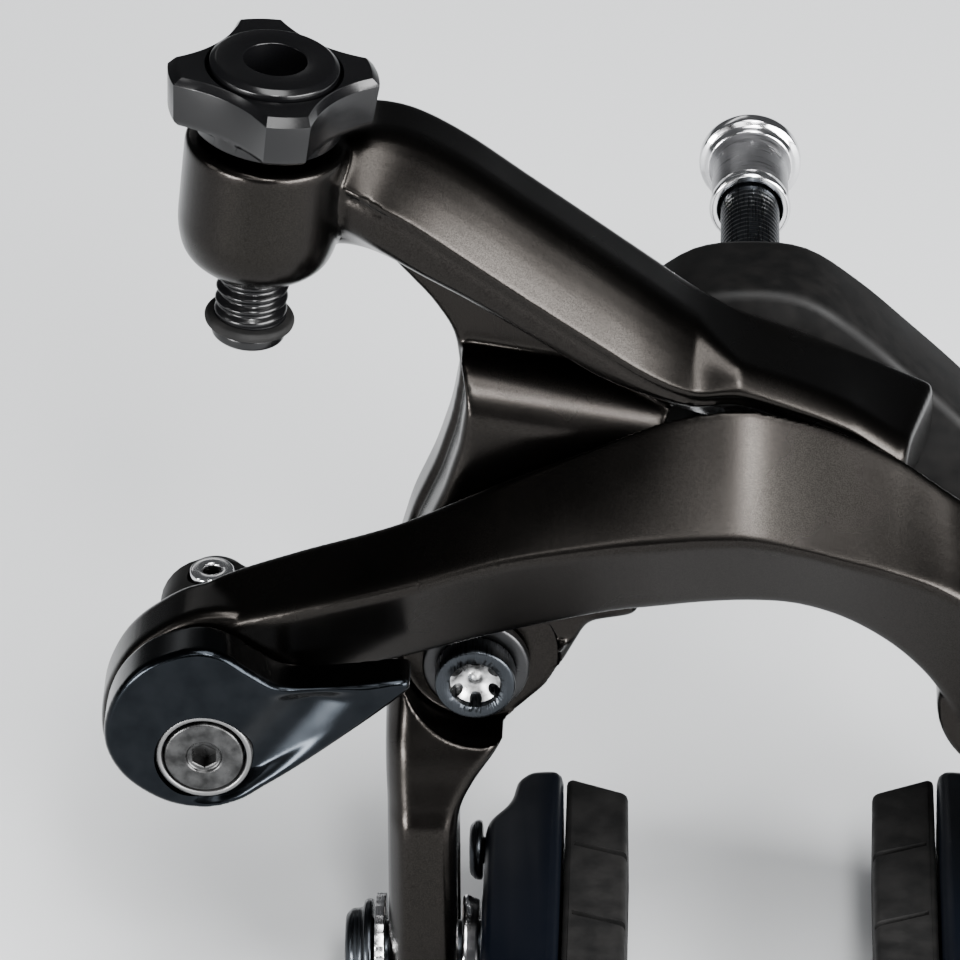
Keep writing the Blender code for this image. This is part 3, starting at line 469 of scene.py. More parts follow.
def forged(obj, grid=0.28, rounds=7):
    """One skin over joined shapes: fine quads that lie on the shapes, their edges eased."""
    source = obj.copy()
    source.data = obj.data.copy()
    bpy.context.scene.collection.objects.link(source)
    reskin(obj, grid)
    wrap = obj.modifiers.new("wrap", "SHRINKWRAP")
    wrap.target = source
    soften(obj, rounds)
    settle(obj)
    bpy.data.objects.remove(source)
    obj.data.shade_smooth()
    return obj


def done(obj, body, slot, *nodes, paint=None):
    """Puts a finished piece on its body, in place of the CAD nodes it stands for."""
    if paint:
        obj.data.materials.clear()
        obj.data.materials.append(paint)
    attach(obj, body)
    if nodes:
        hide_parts(*nodes)
    return obj


def turned(name, profile, base, axis, body, slot, paint, **shape):
    """A turned piece with nothing cut from it, in place of the node of its own name."""
    return done(lathe(name, profile, base, axis, paint, **shape), body, slot, name)


# ---------------------------------------------------------------- rear arm

# Stations along the beam: X, top, Y of the front face, the front face's lower edge, the rail below it,
# the underside.
BEAM = [
    (-46.5, 37.6, -22.4, 36.4, 33.0, 29.4), (-43.0, 38.4, -23.0, 37.0, 33.2, 28.6),
    (-40.0, 39.4, -24.2, 37.2, 33.0, 28.4), (-37.4, 40.2, -25.4, 36.8, 32.4, 28.4),
    (-34.6, 40.4, -26.2, 35.6, 30.8, 27.6), (-31.0, 39.4, -26.4, 33.2, 28.4, 25.6),
    (-26.4, 36.6, -26.4, 29.6, 25.5, 22.8), (-20.8, 32.2, -26.4, 25.3, 21.6, 19.2),
    (-14.2, 27.0, -26.4, 20.4, 17.0, 14.8), (-9.4, 23.2, -26.4, 17.0, 14.9, 12.0),
    (-5.2, 19.9, -26.4, 15.2, 13.7, 10.0), (-1.0, 17.3, -26.4, 15.2, 13.9, 9.0),
    (4.7, 15.0, -26.4, 13.1, 11.8, 8.4), (9.6, 12.7, -26.4, 10.9, 9.6, 6.0),
    (15.2, 9.3, -26.4, 7.8, 6.4, 3.9),
]

# Outlines in X and Z: the web that ties the beam to the leg, and the panel raised in front of it.
WEB = [
    (-36.0, 33.0), (-35.6, 27.4), (-33.2, 24.4), (-30.2, 20.8), (-28.1, 17.2), (-27.6, 13.0),
    (-28.6, 7.6), (-30.2, 2.6), (-32.6, -2.8), (-34.4, -9.0), (-35.0, -17.0), (-35.2, -25.0),
    (-34.8, -29.5),
    (-25.4, -29.5), (-22.8, -25.2), (-19.9, -20.4), (-17.6, -16.2), (-15.6, -12.4), (-10.8, -11.6),
    (-9.6, -6.0), (-9.4, 1.0), (-8.4, 8.0), (-5.0, 12.6), (-6.0, 18.0), (-20.0, 27.0),
    (-31.0, 36.0),
]
PANEL = [
    (-27.7, 16.3), (-24.0, 16.0), (-17.0, 14.8), (-9.6, 13.5), (-7.0, 12.4), (-8.6, 8.0),
    (-9.4, 1.0), (-9.6, -6.0), (-10.8, -11.4), (-15.6, -12.2), (-17.6, -16.0), (-19.9, -20.2),
    (-24.0, -24.0), (-34.0, -24.0), (-34.6, -17.0), (-33.6, -9.0), (-31.8, -2.8), (-29.4, 2.6),
    (-27.8, 7.6), (-26.9, 13.0),
]

# The panel's top edge: its height at X = 0 and how much it climbs to the left.
PANEL_TOP, PANEL_CLIMB = 11.1, 0.188

# Stations down the leg: Z, outer and inner X, front and back Y.
REAR_LEG = [
    (-14.0, -34.8, -17.5, -25.6, ARM_BACK), (-18.0, -35.1, -20.0, -26.0, ARM_BACK),
    (-21.4, -35.3, -22.6, -27.0, ARM_BACK), (-24.4, -35.4, -24.4, -28.4, -13.6),
    (-27.4, -35.4, -26.6, -29.4, -14.2), (-30.0, -35.3, -28.0, -30.3, -15.4),
    (-33.0, -35.3, -28.5, -31.2, -17.0), (-42.0, -35.4, -28.6, -31.8, -18.4),
    (-55.0, -35.6, -28.8, -31.4, -18.6), (-57.0, -35.0, -29.4, -29.6, -20.4),
]


def rounded_end(rings, out, sizes=((0.55, 0.985), (0.85, 0.94), (1.0, 0.86))):
    """Rings that round over the last one's end, carried outward and drawn in."""
    last = [Vector(p) for p in rings[-1]]
    centre = sum(last, Vector()) / len(last)
    return rings + [
        [tuple(centre + (p - centre) * scale + Vector(out) * share) for p in last]
        for share, scale in sizes
    ]


def beam():
    """The upper arm: a flat top that rolls over into the front face, and a rail below that."""
    rings = []
    for x, top, front, crease, rail, under in smooth_line(BEAM, 10, closed=False):
        narrow = min(max((x + 5.2) / 4.2, 0.0), 1.0)
        shoulder = -20.6 - 3.6 * narrow
        end = max(0.0, (x - 9.6) / 6.6)
        middle = ((shoulder + front) / 2 - 0.30, (top + crease) / 2 + 0.34)
        corners = [
            (ARM_BACK, top - 0.2, 0.9), (shoulder, top + 0.3, 1.9 - 1.1 * narrow), (*middle, 2.0),
            (front, crease, 0.35), (front + 0.7, crease - 0.55, 0.25),
            (front + 0.25, crease - 1.2, 0.5), (front + 0.6, rail, 0.8),
            (-21.0, under, 1.6), (ARM_BACK, under, 0.8),
        ]
        rings.append(eased([
            (x + 1.9 * end * (y + 20.0) / 7.0, y, z, r) for y, z, r in corners
        ], None, 3, fill=3))
    return loft("rear_arm", rounded_end(rings, (1.0, 0.1, -0.4)))


def leg(stations):
    """A leg through stations of Z, outer and inner X, front and back Y."""
    rings = []
    for z, outer, inner, front, back in smooth_line(stations, 8, closed=False):
        side = 1 if inner > outer else -1
        rings.append(eased([
            (outer, back, z, 1.0), (outer, front + 2.2, z, 1.2), (outer + side * 1.6, front, z, 0.8),
            (inner - side * 0.9, front, z, 0.5), (inner, front + 1.2, z, 0.6), (inner, back, z, 1.0),
        ], None, 3, fill=2))
    return loft("leg", rings)


def slot_tool(side):
    """The slot along Z that a shoe's stud slides in."""
    half, low, high = 3.35, -51.0, -41.0
    arc = [math.pi * i / 12 for i in range(13)]
    outline = [(STUD_Y + half * math.cos(a), high + half * math.sin(a)) for a in arc]
    outline += [(STUD_Y - half * math.cos(a), low - half * math.sin(a)) for a in arc]
    return loft("tool", [[(x, y, z) for y, z in outline] for x in (side * 20.0, side * 45.0)])


def along_adjuster(height):
    return tuple(ADJUSTER_BASE + ADJUSTER_AXIS * height)


def rolled_panel(front=-24.0, radius=6.0):
    """The raised panel in front of the web; its sloping top edge is rolled back into the web."""
    panel = forged(plate("panel", eased(PANEL, 1.0, 3), front, front + 8.0, 1.0))
    for vertex in panel.data.vertices:
        x, y, z = vertex.co / MM
        below = PANEL_TOP - PANEL_CLIMB * x - z
        rise = radius - min(max(below, 0.0), radius)
        vertex.co.y = max(y, front + radius - math.sqrt(radius ** 2 - rise ** 2)) * MM
    return panel


def rear_arm():
    arm = beam()
    boss = lathe("boss", [
        (0.0, 14.2), (7.3, 14.2), (7.7, 13.8), (7.7, 4.6), (7.0, 2.0), (5.0, 0.5), (4.0, 0.0),
        (0.0, 0.0),
    ], ADJUSTER_BASE, ADJUSTER_AXIS, ease=1.1)
    web = plate("web", eased(WEB, 1.5, 3), -18.0, ARM_BACK, 0.6)
    x, z = -PIVOT_X, PIVOT_Z
    forged(gather(arm, boss, web, rolled_panel(), leg(REAR_LEG)))
    cut(arm, rod((x + 0.4, -22.7, z + 1.0), (x + 0.4, -40, z + 1.0), 7.7, 7.9, sides=96))
    forged(arm, 0.25, 4)
    cut(
        arm,
        bore(x, z, -40, 0, BUSHING_BORE),
        bore(x, z, -17.6, -5, SPRING_RECESS),
        slot_tool(-1),
        rod(along_adjuster(-5), along_adjuster(30), ADJUSTER_BORE),
        block((-3.8, -30, 3.2), (8.2, -20.2, 8.4)),
        block((-27.8, -21.9, -11.9), (-24.6, 0, 1.7)),
    )
    return done(sharpen(arm, 45), "rear_arm", "arm_paint", "rear_arm", paint=PAINT)


# ---------------------------------------------------------------- front arm

# Stations along the arch: top back edge, front crease and lower front edge in X and Z, their Y values,
# and how wide the crease's rounding is.
ARCH = [
    (-56.0, -7.0, -56.0, -9.6, -55.0, -18.0, -27.0, -33.2, -33.0, 1.2),
    (-50.0, -3.7, -50.4, -6.0, -48.6, -17.4, -27.0, -33.6, -33.0, 1.2),
    (-42.9, -1.1, -42.6, -3.5, -41.6, -13.4, -27.0, -34.6, -32.2, 1.2),
    (-33.3, 2.0, -33.1, -0.8, -32.5, -11.0, -27.0, -35.0, -31.5, 1.2),
    (-23.7, 6.6, -23.6, 2.0, -23.4, -8.3, -27.0, -35.0, -31.5, 1.1),
    (-14.2, 10.8, -14.1, 3.5, -14.2, -6.1, -27.0, -35.0, -31.5, 1.0),
    (-8.5, 13.3, -8.6, 4.0, -8.8, -5.4, -27.0, -35.0, -31.5, 0.9),
    (-4.0, 14.4, -4.0, 4.3, -4.4, -4.9, -27.0, -35.0, -31.5, 0.8),
    (0.2, 14.6, 0.2, 4.25, 0.2, -4.7, -27.0, -35.0, -31.5, 0.7),
    (4.7, 13.6, 4.7, 3.3, 4.5, -5.1, -27.0, -35.0, -31.5, 0.6),
    (9.4, 11.9, 9.4, 1.9, 8.8, -6.6, -27.0, -35.0, -31.5, 0.6),
    (14.5, 9.1, 13.8, 0.6, 12.9, -9.2, -27.0, -35.0, -31.5, 0.6),
    (19.9, 4.9, 18.6, -1.4, 16.2, -12.4, -27.0, -35.0, -31.5, 0.7),
    (25.4, -0.4, 23.2, -4.8, 18.5, -16.0, -24.5, -34.8, -31.2, 0.8),
    (30.2, -7.0, 26.8, -10.0, 19.8, -20.0, -19.0, -34.2, -30.6, 0.9),
    (33.6, -15.0, 30.0, -16.6, 21.4, -24.0, -14.4, -33.4, -29.8, 1.0),
    (35.0, -23.0, 32.0, -24.4, 24.4, -28.0, -14.0, -32.6, -29.8, 1.4),
    (35.4, -29.6, 33.6, -30.2, 26.6, -31.6, -15.0, -32.2, -30.2, 1.8),
    (35.4, -34.0, 34.4, -34.4, 28.4, -35.0, -17.0, -31.9, -31.0, 1.8),
    (35.5, -42.0, 34.5, -42.0, 28.5, -42.0, -18.4, -31.8, -31.6, 1.8),
    (35.6, -55.0, 34.6, -55.0, 28.8, -55.0, -18.6, -31.4, -31.2, 1.8),
    (35.0, -57.0, 34.2, -57.0, 29.4, -57.0, -20.4, -29.6, -29.4, 1.4),
]


# The round end behind the lever, a little larger at its upper left.
ARM_END = [
    (-57.0, -7.2), (-59.7, -9.8), (-61.5, -13.2), (-62.2, -16.4), (-62.1, -19.6), (-60.8, -22.6),
    (-58.2, -25.0), (-54.8, -26.3), (-51.0, -26.5), (-47.2, -25.2), (-44.2, -22.2), (-42.8, -18.4),
    (-42.4, -13.2), (-43.6, -8.6), (-48.0, -5.0), (-53.0, -5.0),
]


def shoulder_bore(z, start, end, radius, sides):
    """A cutter along X, on a shoulder screw's axis."""
    return rod((start, SHOULDER_Y, z), (end, SHOULDER_Y, z), radius, sides=sides)


def front_arm():
    """The lower arm: an arch whose upper face bends at its middle, and a leg on the right."""
    rings = []
    for station in smooth_line(ARCH, 10, closed=False):
        tx, tz, kx, kz, bx, bz, y_top, y_crease, y_low, round_over = station
        rings.append(eased([
            (tx, y_top, tz, 1.1), (kx, y_crease, kz, round_over),
            (bx, y_low, bz, 1.0), (bx, y_top, bz, 0.8),
        ], None, 4, fill=5))
    arm = loft("front_arm", rings)
    x, z = PIVOT_X, PIVOT_Z
    end = plate("end", smooth_line(ARM_END, 5), -33.5, -27.0, 1.1)
    pivot = lathe("pivot", [
        (0.0, ARM_BACK), (8.6, ARM_BACK), (8.6, -31.0), (0.0, -31.0),
    ], (x, 0, z), Y_AXIS, ease=0.7)
    corners = [(-48.0, -8.0), (-40.5, -6.0), (-40.0, -15.8), (-46.0, -18.0)]
    ear = plate("ear", corners, -32.0, -27.0, 0.6)
    forged(gather(arm, end, ear, pivot))
    cut(
        arm,
        bore(LEVER_X, LEVER_Z, -45, -20, 5.25),
        bore(x, z, -28.6, 0, BUSHING_BORE),
        bore(x, z, -17.6, -5, SPRING_RECESS),
        bore(LINK_X, LINK_Z, -31, -20, LINK_PIN_BORE),
        bore(0, ROLLER_Z, -31, -20, 2.0),
        shoulder_bore(z - SHOULDER_STEP, 30.6, 42, 2.2, 48),
        shoulder_bore(z + SHOULDER_STEP, 30.6, 42, 2.2, 48),
        slot_tool(1),
        block((24.6, -21.9, -11.9), (27.8, 0, 1.7)),
    )
    return done(sharpen(arm, 45), "front_arm", "arm_paint", "front_arm", paint=PAINT)


# ---------------------------------------------------------------- bridge and fixings

def bridge():
    """The plate behind the arms that carries both pivots; its outline is mirrored in X."""
    half = [
        (0.0, 18.0), (5.5, 17.2), (10.5, 13.6), (15.5, 8.8), (20.5, 3.7), (25.6, -2.2), (30.0, -6.8),
        (33.0, -10.6), (34.2, -15.0), (33.6, -20.0), (30.0, -24.2), (25.0, -25.0), (20.6, -22.0),
        (18.0, -16.5), (14.5, -11.0), (8.5, -8.2), (0.0, -7.4),
    ]
    outline = smooth_line(half + [(-x, z) for x, z in reversed(half[1:-1])], 4)
    body = plate("pivot_bridge", outline, -12.0, -1.6, 1.1)
    tools = [bore(0, 0, -20, 5, 3.3)]
    for x in (-PIVOT_X, PIVOT_X):
        tools += [bore(x, PIVOT_Z, -20, 5, 3.5), bore(x, PIVOT_Z, -5.8, 5, 5.3)]
    cut(body, *tools)
    return done(sharpen(body), "bridge", "black_metal", "pivot_bridge", paint=BLACK)


def socket(x, z, mouth, depth, radius):
    """A cutter for a hexagon socket along Y."""
    return bore(x, z, mouth, depth, radius, sides=6)


def thread_points(radius, depth, pitch, low, high, steps, per_turn_rows=12):
    """Rows of (radius, height) round an axis that follow a helical thread."""
    rows = int((high - low) / pitch * per_turn_rows)
    for k in range(rows + 1):
        row = []
        height = low + (high - low) * k / rows
        fade = min(1.0, (height - low) / pitch, (high - height) / pitch)
        for i in range(steps):
            turn = i / steps
            phase = (height / pitch - turn) % 1.0
            row.append((radius - depth * fade * (0.5 - 0.5 * math.cos(2 * math.pi * phase)), height))
        yield row


def threaded(name, radius, depth, pitch, low, high, base, axis, paint, steps=40):
    """A threaded length of rod with flat ends."""
    place = Matrix.Translation(mm(base)) @ turn_to(axis)
    bm = bmesh.new()
    rows = []
    for row in thread_points(radius, depth, pitch, low, high, steps):
        rows.append([
            bm.verts.new(place @ round_axis(r, i, steps, h)) for i, (r, h) in enumerate(row)
        ])
    for a, b in zip(rows, rows[1:]):
        for i in range(steps):
            j = (i + 1) % steps
            bm.faces.new((a[i], a[j], b[j], b[i]))
    bm.faces.new(reversed(rows[0]))
    bm.faces.new(rows[-1])
    return new_object(name, bm, paint)


def fixings():
    """The centre bolt, its recessed nut and the washers."""
    centre = (0, 0, 0)
    bolt = lathe("centre_bolt", [
        (0.0, 22.0), (3.0, 22.0), (3.0, -13.4), (5.0, -13.4), (5.0, -18.4), (0.0, -18.4),
    ], centre, Y_AXIS, ease=0.5)
    cut(bolt, socket(0, 0, -19.4, -15.4, 2.9))
    done(bolt, "fork_fixing", "steel", "centre_bolt", paint=BLACK_STEEL)
    thread = threaded(
        "centre_bolt_thread", 3.0, 0.10, 0.8, 21.9, 40.5, centre, Y_AXIS, BLACK_STEEL)
    done(thread, "fork_fixing", "steel")
    nut = lathe("recessed_nut", [
        (2.3, 42.7), (4.3, 42.7), (3.85, 41.6), (3.95, 35.2), (3.3, 35.2), (3.3, 40.9), (2.3, 41.3),
    ], centre, Y_AXIS, steps=96, ease=0.3, ring=True)
    cut(nut, socket(0, 0, 42.0, 46.0, 2.9))
    done(nut, "fork_nut", "steel", "recessed_nut", paint=BRUSHED)
    mouth = lathe("nut_mouth", [
        (3.3, 35.4), (4.0, 35.4), (4.15, 34.3), (3.9, 34.0), (3.3, 34.0),
    ], centre, Y_AXIS, CHROME, steps=96, ring=True, ease=0.12)
    done(mouth, "fork_nut", "steel")
    flange = lathe("nut_flange", [
        (2.3, 42.5), (4.3, 42.4), (4.6, 43.0), (5.2, 43.3), (5.2, 44.4), (4.9, 45.0), (4.2, 45.0),
        (2.3, 44.4),
    ], centre, Y_AXIS, CHROME, steps=96, ease=0.18, ring=True)
    cut(flange, socket(0, 0, 42.0, 46.0, 2.9))
    done(flange, "fork_nut", "steel")
    for name, front, back, inner, outer in (
        ("bolt_washer", -13.1, -12.3, 3.3, 6.6), ("mounting_washer", -1.3, 0.0, 3.4, 8.5),
    ):
        profile = [(inner, back), (outer, back), (outer, front), (inner, front)]
        turned(name, profile, centre, Y_AXIS, "fork_fixing", "steel", TURNED_Y, ring=True)


def pivots():
    """The two axles and their bushings; the left axle's head holds a six-lobed recess."""
    left, right, z = (-PIVOT_X, 0, PIVOT_Z), (PIVOT_X, 0, PIVOT_Z), PIVOT_Z
    axle = lathe("left_pivot_axle", [
        (0.0, -2.4), (3.2, -2.4), (3.2, -24.6), (3.9, -24.6), (3.9, -27.3), (0.0, -27.3),
    ], left, Y_AXIS, ease=0.35)
    cut(axle, bore(-PIVOT_X, z, -28.3, -24.8, 2.52, 64))
    done(axle, "bridge", "dark_steel", "left_pivot_axle", paint=BLACK_STEEL)
    insert = lathe("left_pivot_socket", [
        (0.0, -24.7), (2.5, -24.7), (2.5, -26.7), (1.8, -26.2), (0.8, -25.7), (0.35, -26.1),
        (0.0, -26.2),
    ], left, Y_AXIS, ease=0.2)
    lobes = [math.radians(60 * k + 30) for k in range(6)]
    cut(insert, *[
        bore(-PIVOT_X + 2.1 * math.cos(a), z + 2.1 * math.sin(a), -28, -25.0, 0.62, 24)
        for a in lobes
    ])
    done(insert, "bridge", "dark_steel", paint=STAR)
    axle = lathe("right_pivot_axle", [
        (0.0, -2.0), (4.9, -2.0), (4.9, -5.5), (3.2, -5.5), (3.2, -28.0), (0.0, -28.0),
    ], right, Y_AXIS, ease=0.35)
    cut(axle, socket(PIVOT_X, z, -1.0, -4.0, 2.5))
    done(axle, "bridge", "dark_steel", "right_pivot_axle", paint=DARK_STEEL)
    # The left bushing wears the steel darkened as painted shade; the right bushing, the same kind of part,
    # is chrome.
    turned("left_bushing", [
        (3.5, -18.0), (4.6, -18.0), (4.6, -23.0), (5.2, -23.0), (5.2, -24.3), (3.5, -24.3),
    ], left, Y_AXIS, "rear_arm", "steel", SHADE_DARKENED_BUSH, ring=True, ease=0.4)
    turned("right_bushing", [
        (3.5, -18.0), (4.6, -18.0), (4.6, -28.2), (3.5, -28.2),
    ], right, Y_AXIS, "front_arm", "steel", CHROME, ring=True)


def spring(name, side):
    """A wire coil round the pivot, its leg laid up the arm's back."""
    per_turn, turns, radius = 40, 2.25, 6.1
    back = ARM_BACK - 0.7
    points = []
    for i in range(int(turns * per_turn) + 1):
        a = 2 * math.pi * i / per_turn
        points.append((
            side * (PIVOT_X + radius * math.sin(a)), back - (turns - i / per_turn) * 1.45,
            PIVOT_Z - radius * math.cos(a),
        ))
    x, y, z = points[-1]
    points += [
        (x, y, z + 2.5), (x, y, z + 5.0), (x - side * 0.3, y, z + 8.0), (x - side * 0.6, y, z + 11.0),
    ]
    data = bpy.data.curves.new(name, "CURVE")
    data.dimensions = "3D"
    data.bevel_depth = 0.6 * MM
    data.bevel_resolution = 3
    data.use_fill_caps = True
    line = data.splines.new("POLY")
    line.points.add(len(points) - 1)
    for point, place in zip(line.points, points):
        point.co = (*mm(place), 1.0)
    wire = bpy.data.objects.new(name, data)
    data.materials.append(CHROME)
    bpy.context.scene.collection.objects.link(wire)
    return done(wire, "bridge", "steel", name)


# ---------------------------------------------------------------- adjuster

def lobed(radius, hollow=7.0, blunt=12.0, phase=11.0, steps=12):
    """Four blunt lobes, each a short arc at the full radius, with a hollow arc between them."""
    points = []
    for lobe in range(4):
        middle = math.radians(90 * lobe + phase)
        for k in range(steps // 2 + 1):
            a = middle + math.radians(blunt) * (2 * k / (steps // 2) - 1)
            points.append((radius * math.cos(a), radius * math.sin(a)))
        start = Vector(points[-1])
        a = middle + math.radians(90 - blunt)
        end = Vector((radius * math.cos(a), radius * math.sin(a)))
        a = middle + math.radians(45)
        deep = Vector((math.cos(a), math.sin(a))) * min(hollow, radius * 0.97)
        pull = deep * 2 - (start + end) / 2
        for k in range(1, 2 * steps):
            t = k / (2 * steps)
            points.append(tuple(start * (1 - t) ** 2 + pull * 2 * t * (1 - t) + end * t * t))
    return points


def knob():
    """A knob with a narrow chamfer round its top, on a round collar."""
    turn = turn_to(ADJUSTER_AXIS)
    levels = [
        (KNOB_BASE, 6.5, 6.5), (KNOB_BASE + 0.3, 6.9, 6.9), (KNOB_BASE + 1.3, 7.1, 6.95),
        (KNOB_BASE + 1.5, 9.1, 6.85), (KNOB_BASE + 1.9, 9.5, 7.0), (KNOB_BASE + 2.2, 9.6, 7.05),
        (KNOB_TOP - 0.85, 9.9, 7.1), (KNOB_TOP - 0.75, 9.88, 7.08), (KNOB_TOP - 0.14, 9.3, 6.6),
        (KNOB_TOP, 9.12, 6.55),
    ]
    rings = [
        [tuple(ADJUSTER_BASE + turn @ Vector((x, y, h))) for x, y in lobed(radius, hollow)]
        for h, radius, hollow in levels
    ]
    body = loft("adjuster_knob", rings)
    cut(
        body,
        rod(along_adjuster(5), along_adjuster(30), ADJUSTER_BORE, sides=64),
        rod(along_adjuster(KNOB_TOP - 1.8), along_adjuster(30), 6.5, sides=96),
    )
    done(sharpen(body, 24), "adjuster_knob", "black_plastic", "adjuster_knob", paint=PLASTIC)


def adjuster_bolt():
    """The hollow bolt in four pieces: head, thread, tip and the stop ring on the tip."""
    top, seat, low = KNOB_TOP + 0.9, KNOB_TOP - 1.5, -7.6
    head = lathe("adjuster_bolt", [
        (3.0, top), (5.55, top), (6.1, top - 0.45), (6.15, seat), (3.35, seat), (3.35, 1.0),
        (1.3, 1.0), (1.3, 12.0), (3.0, 12.0),
    ], ADJUSTER_BASE, ADJUSTER_AXIS, ring=True, ease=0.12, steps=96)
    done(head, "adjuster_bolt", "black_plastic", "adjuster_bolt", paint=PLASTIC)
    thread = threaded(
        "adjuster_thread", 3.45, 0.5, 1.3, low + 2.6, 2.6, ADJUSTER_BASE, ADJUSTER_AXIS, PLASTIC, 48)
    done(thread, "adjuster_bolt", "black_plastic")
    tip = lathe("adjuster_tip", [
        (0.0, low + 2.8), (3.0, low + 2.8), (3.0, low + 1.4), (3.5, low + 1.3), (3.5, low + 0.4),
        (3.0, low), (1.4, low), (1.4, low + 1.0), (0.0, low + 1.0),
    ], ADJUSTER_BASE, ADJUSTER_AXIS, PLASTIC, ease=0.2)
    done(tip, "adjuster_bolt", "black_plastic")
    turned("adjuster_stop_ring", [
        (3.2, low + 1.5), (3.75, low + 1.4), (4.2, low + 1.65), (4.3, low + 2.1),
        (4.1, low + 2.5), (3.2, low + 2.6),
    ], ADJUSTER_BASE, ADJUSTER_AXIS, "adjuster_bolt", "rubber", RUBBER, ring=True)


# ---------------------------------------------------------------- quick release and cable anchor

LEVER_OUTLINE = [
    (-61.5, -14.4), (-60.2, -10.6), (-57.8, -7.7), (-55.0, -6.2), (-52.2, -5.6), (-49.8, -6.2),
    (-47.2, -8.1), (-44.4, -9.8), (-40.6, -10.0), (-36.2, -9.6), (-32.9, -9.3), (-32.3, -10.3),
    (-33.8, -11.7), (-38.0, -15.0), (-43.0, -18.9), (-46.4, -21.3), (-49.0, -23.0),
    (-52.2, -23.8), (-56.0, -23.0), (-59.4, -20.6), (-61.2, -17.6),
]

# A point on the flute in X and Z, and the way across it.
FLUTE, FLUTE_WAY = Vector((-43.2, -16.2)), Vector((0.785, -0.62))


def lever():
    """A round hub that is flat in front; right of it the face dips into a flute before the blade's tip."""
    outline = smooth_line(LEVER_OUTLINE, 8)
    back, front = -33.9, -38.6
    body = plate("quick_release_lever", outline, front, back, 0.05)
    reskin(body, 0.22)
    wrap = body.modifiers.new("wrap", "SHRINKWRAP")
    source = body.copy()
    source.data = body.data.copy()
    bpy.context.scene.collection.objects.link(source)
    wrap.target = source
    settle(body)
    bpy.data.objects.remove(source)
    edge = [Vector(p) for p in outline]
    for vertex in body.data.vertices:
        x, y, z = vertex.co / MM
        here = Vector((x, z))
        rim = min(distance_to(here, a, b) for a, b in zip(edge, edge[1:] + edge[:1]))
        across = (here - FLUTE).dot(FLUTE_WAY)
        fall = min(max((across + 6.0) / 4.6, 0.0), 1.0)
        rise = min(max((across + 1.6) / 3.8, 0.0), 1.0)
        depth = 1.6 * fall * fall * (3 - 2 * fall) - 1.45 * rise * rise * (3 - 2 * rise)
        tip = min(max((x + 40.0) / 8.0, 0.0), 1.0)
        low = 1.0 - min(rim / 0.5, 1.0)
        face = front + depth * min(rim / 1.6, 1.0) + 0.6 * tip * tip + 0.45 * low * low
        share = (y - back) / (front - back)
        vertex.co.y = (back + share * (face - back)) * MM
    soften(body, 3)
    settle(body)
    body.data.shade_smooth()
    cut(
        body,
        bore(LEVER_X, LEVER_Z, -45, -36.4, 4.75, sides=96),
        bore(LEVER_X, LEVER_Z, -45, -20, 2.6),
    )
    done(sharpen(body, 50), "quick_release", "lever_paint", "quick_release_lever", paint=LEVER)
    hub = (LEVER_X, 0, LEVER_Z)
    rim = lathe("lever_rim", [
        (4.05, -36.5), (4.6, -36.5), (4.6, -38.2), (4.05, -38.2),
    ], hub, Y_AXIS, DARK_STEEL, ring=True, ease=0.25, steps=96)
    done(rim, "quick_release", "dark_steel")
    screw = lathe("lever_screw", [
        (0.0, -29.4), (1.7, -29.4), (1.7, -36.7), (3.8, -36.7), (3.8, -38.3), (1.75, -38.3),
        (1.6, -38.0), (0.0, -38.0),
    ], hub, Y_AXIS, ease=0.25)
    cut(screw, socket(LEVER_X, LEVER_Z, -41, -36.4, 1.3))
    done(screw, "quick_release", "dark_steel", "lever_screw", paint=SCREW)
    shaft = lathe("lever_shaft", [
        (0.0, -33.6), (4.9, -33.6), (4.9, -26.8), (0.0, -26.8),
    ], hub, Y_AXIS)
    cam_centre = (LEVER_X, 0, LEVER_Z - 2.4)
    cam = lathe("cam", [(0.0, -27.5), (2.4, -27.5), (2.4, -21.0), (0.0, -21.0)], cam_centre, Y_AXIS)
    join(shaft, cam)
    cut(shaft, bore(LEVER_X, LEVER_Z, -40, -29.0, 2.0))
    done(sharpen(shaft, 40), "quick_release", "dark_steel", "lever_shaft", paint=DARK_STEEL)


